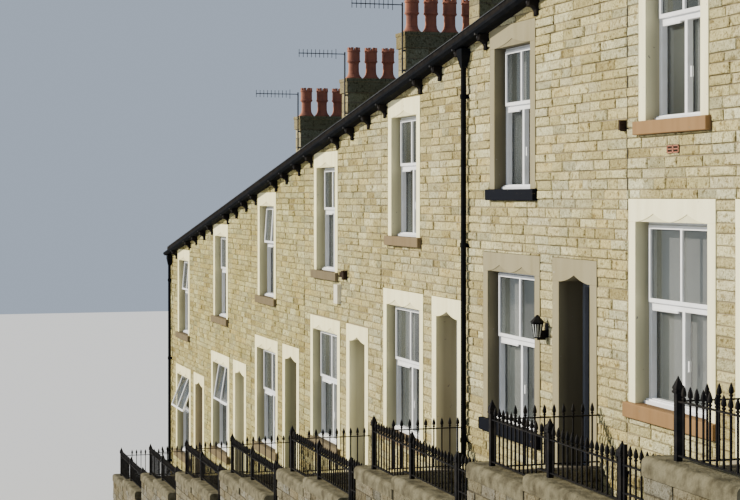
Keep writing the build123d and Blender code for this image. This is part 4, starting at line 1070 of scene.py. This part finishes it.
# Vents: a hood on the fourth house and an outlet on the seventh
vent_hood, vent_outlet = Shape(), Shape()
vent_hood.fitted(homes[3], 2.81, 2.92, 0.73, 0.86, 0.012, 0.09)
vent_hood.fitted(homes[3], 2.80, 2.93, 0.86, 0.88, 0.0, 0.10)
piece("vent_hood", vent_hood.mesh("vent_hood"), brown_plastic, slot="air_bricks")
vent_outlet.fitted(homes[6], 0.415, 0.455, 0.74, 0.85, 0.012, 0.085)
vent_outlet.fitted(homes[6], 0.405, 0.465, 0.73, 0.76, 0.012, 0.060)

# Gutter clips, and the open straight joint of the highest house
clips, open_joint = Shape(), Shape()
for home in homes:
    for share in (0.15, 0.54, 0.735, 0.95):
        along = share * PITCH
        foot = along * RAKE + EAVES
        clips.fitted(home, along - 0.012, along + 0.012, foot - 0.010, foot + 0.014, 0.150, 0.190)
        clips.fitted(home, along - 0.050, along - 0.034, foot - 0.050, foot - 0.020, 0.120, 0.143)
open_joint.fitted(homes[6], 0.473, 0.486, -0.18, EAVES, -0.002, 0.008)
piece("gutter_clips", clips.mesh("gutter_clips"), aerial_metal, slot="gutters")
piece("straight_joint", open_joint.mesh("straight_joint"), yard_mortar, slot="storey_walls")
piece("vent_outlet", vent_outlet.mesh("vent_outlet"), brown_plastic, slot="downpipes")

# Panes of the bracket lantern, between the radii of its foot and its head
LANTERN_OUT = 0.130
LANTERN_RINGS = ((-0.078, 0.0454), (0.075, 0.0716))
house, middle, level, _, _ = LANTERN_PLATE
x, z = homes[house]
lantern = Shape()
for side in range(6):
    angle = math.pi * side / 3
    first = len(lantern.points)
    for height, radius in LANTERN_RINGS:
        flat, half = radius * math.cos(math.pi / 6) + 0.002, radius * 0.38
        for turn in (-half, half):
            lantern.points.append(place(
                x + middle + flat * math.cos(angle) - turn * math.sin(angle), z + level + height,
                LANTERN_OUT - flat * math.sin(angle) - turn * math.cos(angle),
            ))
    lantern.faces.append([first, first + 1, first + 3, first + 2])
piece("lantern_panes", lantern.mesh("lantern_panes"), lamp_glass, slot="wall_lantern")

# White window boards, and vents and handles on the frames, front and rear
PANES = ((0.695, 2.295, -2.18, -1.132), (0.94, 2.15, 0.82, 1.86))    # left, right, foot, transom
FRAME_FACE = 0.142
boards, vents = Shape(), Shape()


def on_face(side, along, height, inwards):
    """A point behind the front (side 0) or rear (side 1) wall face."""
    x, y, z = place(along, height)
    return x, y + DEPTH * side + (1 - 2 * side) * inwards, z


for x, z in homes:
    for left, right, foot, transom in PANES:
        middle = (left + right) / 2
        for side in (0, 1):
            for shape, start, end, low, high, front in (
                (boards, left + 0.003, right - 0.003, foot, foot + 0.034, 0.080),
                (boards, left + 0.003, right - 0.003, foot + 0.034, foot + 0.052, 0.108),
                (vents, left + 0.12, middle - 0.10, transom - 0.050, transom - 0.026, 0.124),
                (vents, middle + 0.14, middle + 0.165, foot + 0.42, foot + 0.53, 0.118),
            ):
                shape.box(
                    on_face(side, x + start, z + low, front),
                    on_face(side, x + end, z + high, FRAME_FACE),
                )
piece("window_boards", boards.mesh("window_boards"), white_frame, slot="window_frames")
piece("window_vents", vents.mesh("window_vents"), white_frame, slot="window_frames")

# Door furniture: left, right, foot and head on the house, then back and front before the leaf
LEAF = -0.335
DOOR_METAL = (
    (3.36, 3.60, -1.755, -1.695, 0.0, 0.008),          # letter plate
    (3.375, 3.585, -1.742, -1.708, 0.0, 0.013),        # its flap
    (3.785, 3.820, -1.53, -1.31, 0.0, 0.009),          # handle plate
    (3.700, 3.812, -1.405, -1.387, 0.032, 0.048),      # lever
    (3.793, 3.811, -1.405, -1.387, 0.0, 0.045),        # its neck
)
DOOR_SIGN = (3.42, 3.54, -0.865, -0.785, 0.0, 0.007)
for number, home in enumerate(homes, 1):
    for name, blocks, material in (
        (f"door_fittings_{number}", DOOR_METAL, bright_metal),
        (f"door_sign_{number}", (DOOR_SIGN,), white_frame),
    ):
        furniture = Shape()
        for *edges, back, front in blocks:
            furniture.fitted(home, *edges, LEAF + back, LEAF + front)
        piece(
            name, furniture.mesh(name), material, body=f"door_{number}",
            slot=f"front_door_{number}",
        )


# Lead round the stacks, bedding along the gables and joints of the ridge tiles
def roof(along, across):
    """Height of the roof's top face."""
    return LINTELS + ROOF_TOP + RAKE * along + SLOPE * min(across, DEPTH - across)


LEAD = 0.030              # how far the lead stands out from a stack
LEAD_SUNK, LEAD_SIDE, LEAD_END = -0.02, 0.15, 0.16     # its foot and tops, over the slates
APRON = 0.17              # how far it reaches down the slope
APRON_HALF = 0.30
APRON_TOP, APRON_FOOT = 0.022, 0.008
BEDDING = 0.010           # how far the bedding stands out from a gable
BEDDING_FOOT, BEDDING_TOP = -0.050, -0.004
BAND_HALF, BAND_REACH = 0.02, 0.158
BAND_FOOT, BAND_TOP = 0.010, 0.046
BANDS = 8                 # joints of the ridge tiles from one stack to the next
lead_work, bedding, ridge_bands = Shape(), Shape(), Shape()
for x, z in lines:
    for side in (-1, 1):
        edge = LOW_X + x + side * STACK_SIDE
        lead_work.prism(
            [
                (FACADE_Y + across, roof(x + side * 0.28, across) + lift)
                for across, lift in (
                    (near - LEAD, LEAD_SUNK), (HALF_DEPTH, LEAD_SUNK), (far + LEAD, LEAD_SUNK),
                    (far + LEAD, LEAD_SIDE), (HALF_DEPTH, LEAD_SIDE), (near - LEAD, LEAD_SIDE),
                )
            ],
            min(edge, edge + side * LEAD), max(edge, edge + side * LEAD),
        )
    for across, out in ((near, -1), (far, 1)):
        level = roof(x, across)
        inner = FACADE_Y + across
        outer, reach = inner + out * LEAD, inner + out * APRON
        drop = (APRON - LEAD) * SLOPE
        lead_work.prism(
            [
                (inner, level + LEAD_END), (outer, level + LEAD_END), (outer, level + APRON_TOP),
                (reach, level + APRON_TOP - drop), (reach, level + APRON_FOOT - drop),
                (inner, level + LEAD_SUNK),
            ],
            LOW_X + x - APRON_HALF, LOW_X + x + APRON_HALF, rise=2 * APRON_HALF * RAKE,
        )
for along, side in ((-END, -1), (LENGTH + END, 1)):
    edge = LOW_X + along
    for eaves in (-OVERHANG, DEPTH + OVERHANG):
        bedding.prism(
            [
                (FACADE_Y + across, roof(along, across) + lift)
                for across, lift in (
                    (eaves, BEDDING_FOOT), (HALF_DEPTH, BEDDING_FOOT), (HALF_DEPTH, BEDDING_TOP),
                    (eaves, BEDDING_TOP),
                )
            ],
            min(edge, edge + side * BEDDING), max(edge, edge + side * BEDDING),
        )
for x, z in homes:
    for number in range(1, BANDS + 1):
        along = x + STACK_SIDE + (PITCH - 2 * STACK_SIDE) * number / (BANDS + 1)
        crown = roof(along, HALF_DEPTH)
        ridge_bands.prism(
            [
                (MIDDLE + across, crown + lift - abs(across) * SLOPE)
                for across, lift in (
                    (-BAND_REACH, BAND_FOOT), (0, BAND_FOOT), (BAND_REACH, BAND_FOOT),
                    (BAND_REACH, BAND_TOP), (0, BAND_TOP), (-BAND_REACH, BAND_TOP),
                )
            ],
            LOW_X + along - BAND_HALF, LOW_X + along + BAND_HALF, rise=2 * BAND_HALF * RAKE,
        )
piece("stack_lead", lead_work.mesh("stack_lead"), lead_sheet, slot="chimney_stacks")
piece("gable_bedding", bedding.mesh("gable_bedding"), mortar, slot="front_roof_slope")
piece("ridge_bands", ridge_bands.mesh("ridge_bands"), ridge_clay, slot="ridge_tiles")

# Slates
SLATE_WIDTH, SLATE_SHOW, SLATE_THICKNESS = 0.30, 0.215, 0.006
SLATE_LAP = 1.15          # a slate's length, in rows
SLATE_EDGE = 0.012        # how far the lowest row stands out over the eaves
SLATE_JOINT = 0.002
SLATE_FOOT, SLATE_HEAD = 0.008, 0.0005      # how high a slate's ends lie over the roof
SLATE_SHAKE = 0.002       # how much more a corner may stand up


def slate_tree():
    """Give each slate its thickness."""
    tree, source = open_tree("split_slates", (("Thickness", SLATE_THICKNESS),))
    slab = node(tree, "GeometryNodeExtrudeMesh", {
        "Mesh": source["Geometry"], "Offset Scale": source["Thickness"], "Individual": True,
    })
    return close_tree(tree, slab.outputs["Mesh"], source)


def roof_slates(seed):
    """Slates of the front slope, each tipped up at its lower edge."""
    chance = random.Random(seed)
    points, faces, tones = [], [], []
    run = HALF_DEPTH + OVERHANG
    rows = round(run / (SLATE_SHOW * math.cos(ROOF_PITCH)))
    for row in range(rows):
        low = -OVERHANG - SLATE_EDGE + run * row / rows
        high = min(low + run / rows * SLATE_LAP, HALF_DEPTH)
        start = -END - SLATE_WIDTH * (0.5 if row % 2 else 0)
        while start < LENGTH + END:
            left, right = max(start, -END), min(start + SLATE_WIDTH, LENGTH + END)
            start += SLATE_WIDTH
            if right - left < NARROWEST:
                continue
            left, right = left + SLATE_JOINT, right - SLATE_JOINT
            first = len(points)
            for x, y, lift in (
                (left, low, SLATE_FOOT), (right, low, SLATE_FOOT), (right, high, SLATE_HEAD),
                (left, high, SLATE_HEAD),
            ):
                shake = chance.uniform(0, SLATE_SHAKE)
                points.append(place(x, ROOF_TOP + RAKE * x + SLOPE * y + lift + shake, -y))
            faces.append((first, first + 1, first + 2, first + 3))
            tones.append(chance.random())
    return points, faces, tones


slates = slate_tree()
slate_points, slate_faces, slate_tones = roof_slates(5)
for side, points, order in (
    ("front", slate_points, 1),
    ("rear", [(x, 2 * MIDDLE - y, z) for x, y, z in slate_points], -1),
):
    name = side + "_slates"
    flat = mesh_of(name, points, [face[::order] for face in slate_faces], slate_tones)
    mesh = through_tree(
        name, flat, slates, {"Thickness": SLATE_THICKNESS, "Finish": slate_stone}
    )
    piece(name, mesh, slot=side + "_roof_slope")

# Blinds in the front and rear windows: the parts of a window that they may be drawn across
DRAWN = (
    ((0.0, 0.30), (0.55, 1.0)), ((0.0, 0.24), (0.72, 1.0)), ((0.0, 1.0),), ((0.50, 1.0),),
)
LOUVRE_GAP, LOUVRE_HALF, LOUVRE_THIN = 0.062, 0.043, 0.0008
BLIND_IN = 0.30           # how far behind the wall face the blinds hang
BLIND_SIDE, BLIND_FOOT, BLIND_HEAD = 0.185, 0.17, 0.30      # how far inside the dressed stone


def louvres():
    """Upright louvres behind each window, drawn across a part of it."""
    chance = random.Random(31)
    blinds = Shape()
    for x, z in homes:
        for left, right, foot, head in (WINDOW, UPPER):
            for face, inwards in ((FACADE_Y, 1), (FACADE_Y + DEPTH, -1)):
                inner_left, inner_right = x + left + BLIND_SIDE, x + right - BLIND_SIDE
                width = inner_right - inner_left
                spans = chance.choice(DRAWN)
                turn = chance.uniform(0.2, 0.7)
                reach = Vector((math.cos(turn), math.sin(turn) * inwards)) * LOUVRE_HALF
                for start, end in spans:
                    for number in range(int(width * (end - start) / LOUVRE_GAP)):
                        at = LOW_X + inner_left + width * start + LOUVRE_GAP * (number + 0.5)
                        first = len(blinds.points)
                        blinds.points += [
                            (
                                at + side * reach.x,
                                face + inwards * BLIND_IN + side * reach.y + thick,
                                LINTELS + height,
                            )
                            for side in (-1, 1) for thick in (-LOUVRE_THIN, LOUVRE_THIN)
                            for height in (z + foot + BLIND_FOOT, z + head - BLIND_HEAD)
                        ]
                        for quad in (
                            (0, 1, 5, 4), (2, 6, 7, 3), (0, 4, 6, 2), (1, 3, 7, 5), (0, 2, 3, 1),
                            (4, 5, 7, 6),
                        ):
                            blinds.faces.append([first + corner for corner in quad])
    return blinds.mesh("window_louvres")


piece("window_louvres", louvres(), blind_louvre, slot="top_lights")

# Floor
REACH = 90
floor_mesh = mesh_of(
    "pale_floor", [(-REACH, -REACH, 0), (REACH, -REACH, 0), (REACH, REACH, 0), (-REACH, REACH, 0)],
    [(0, 1, 2, 3)],
)
floor_paint, _, floor_shader = finish("pale_floor", 0.9)
floor_shader.inputs["Base Color"].default_value = (0.72, 0.72, 0.72, 1)
floor_mesh.materials.append(floor_paint)
in_scene("pale_floor", floor_mesh)
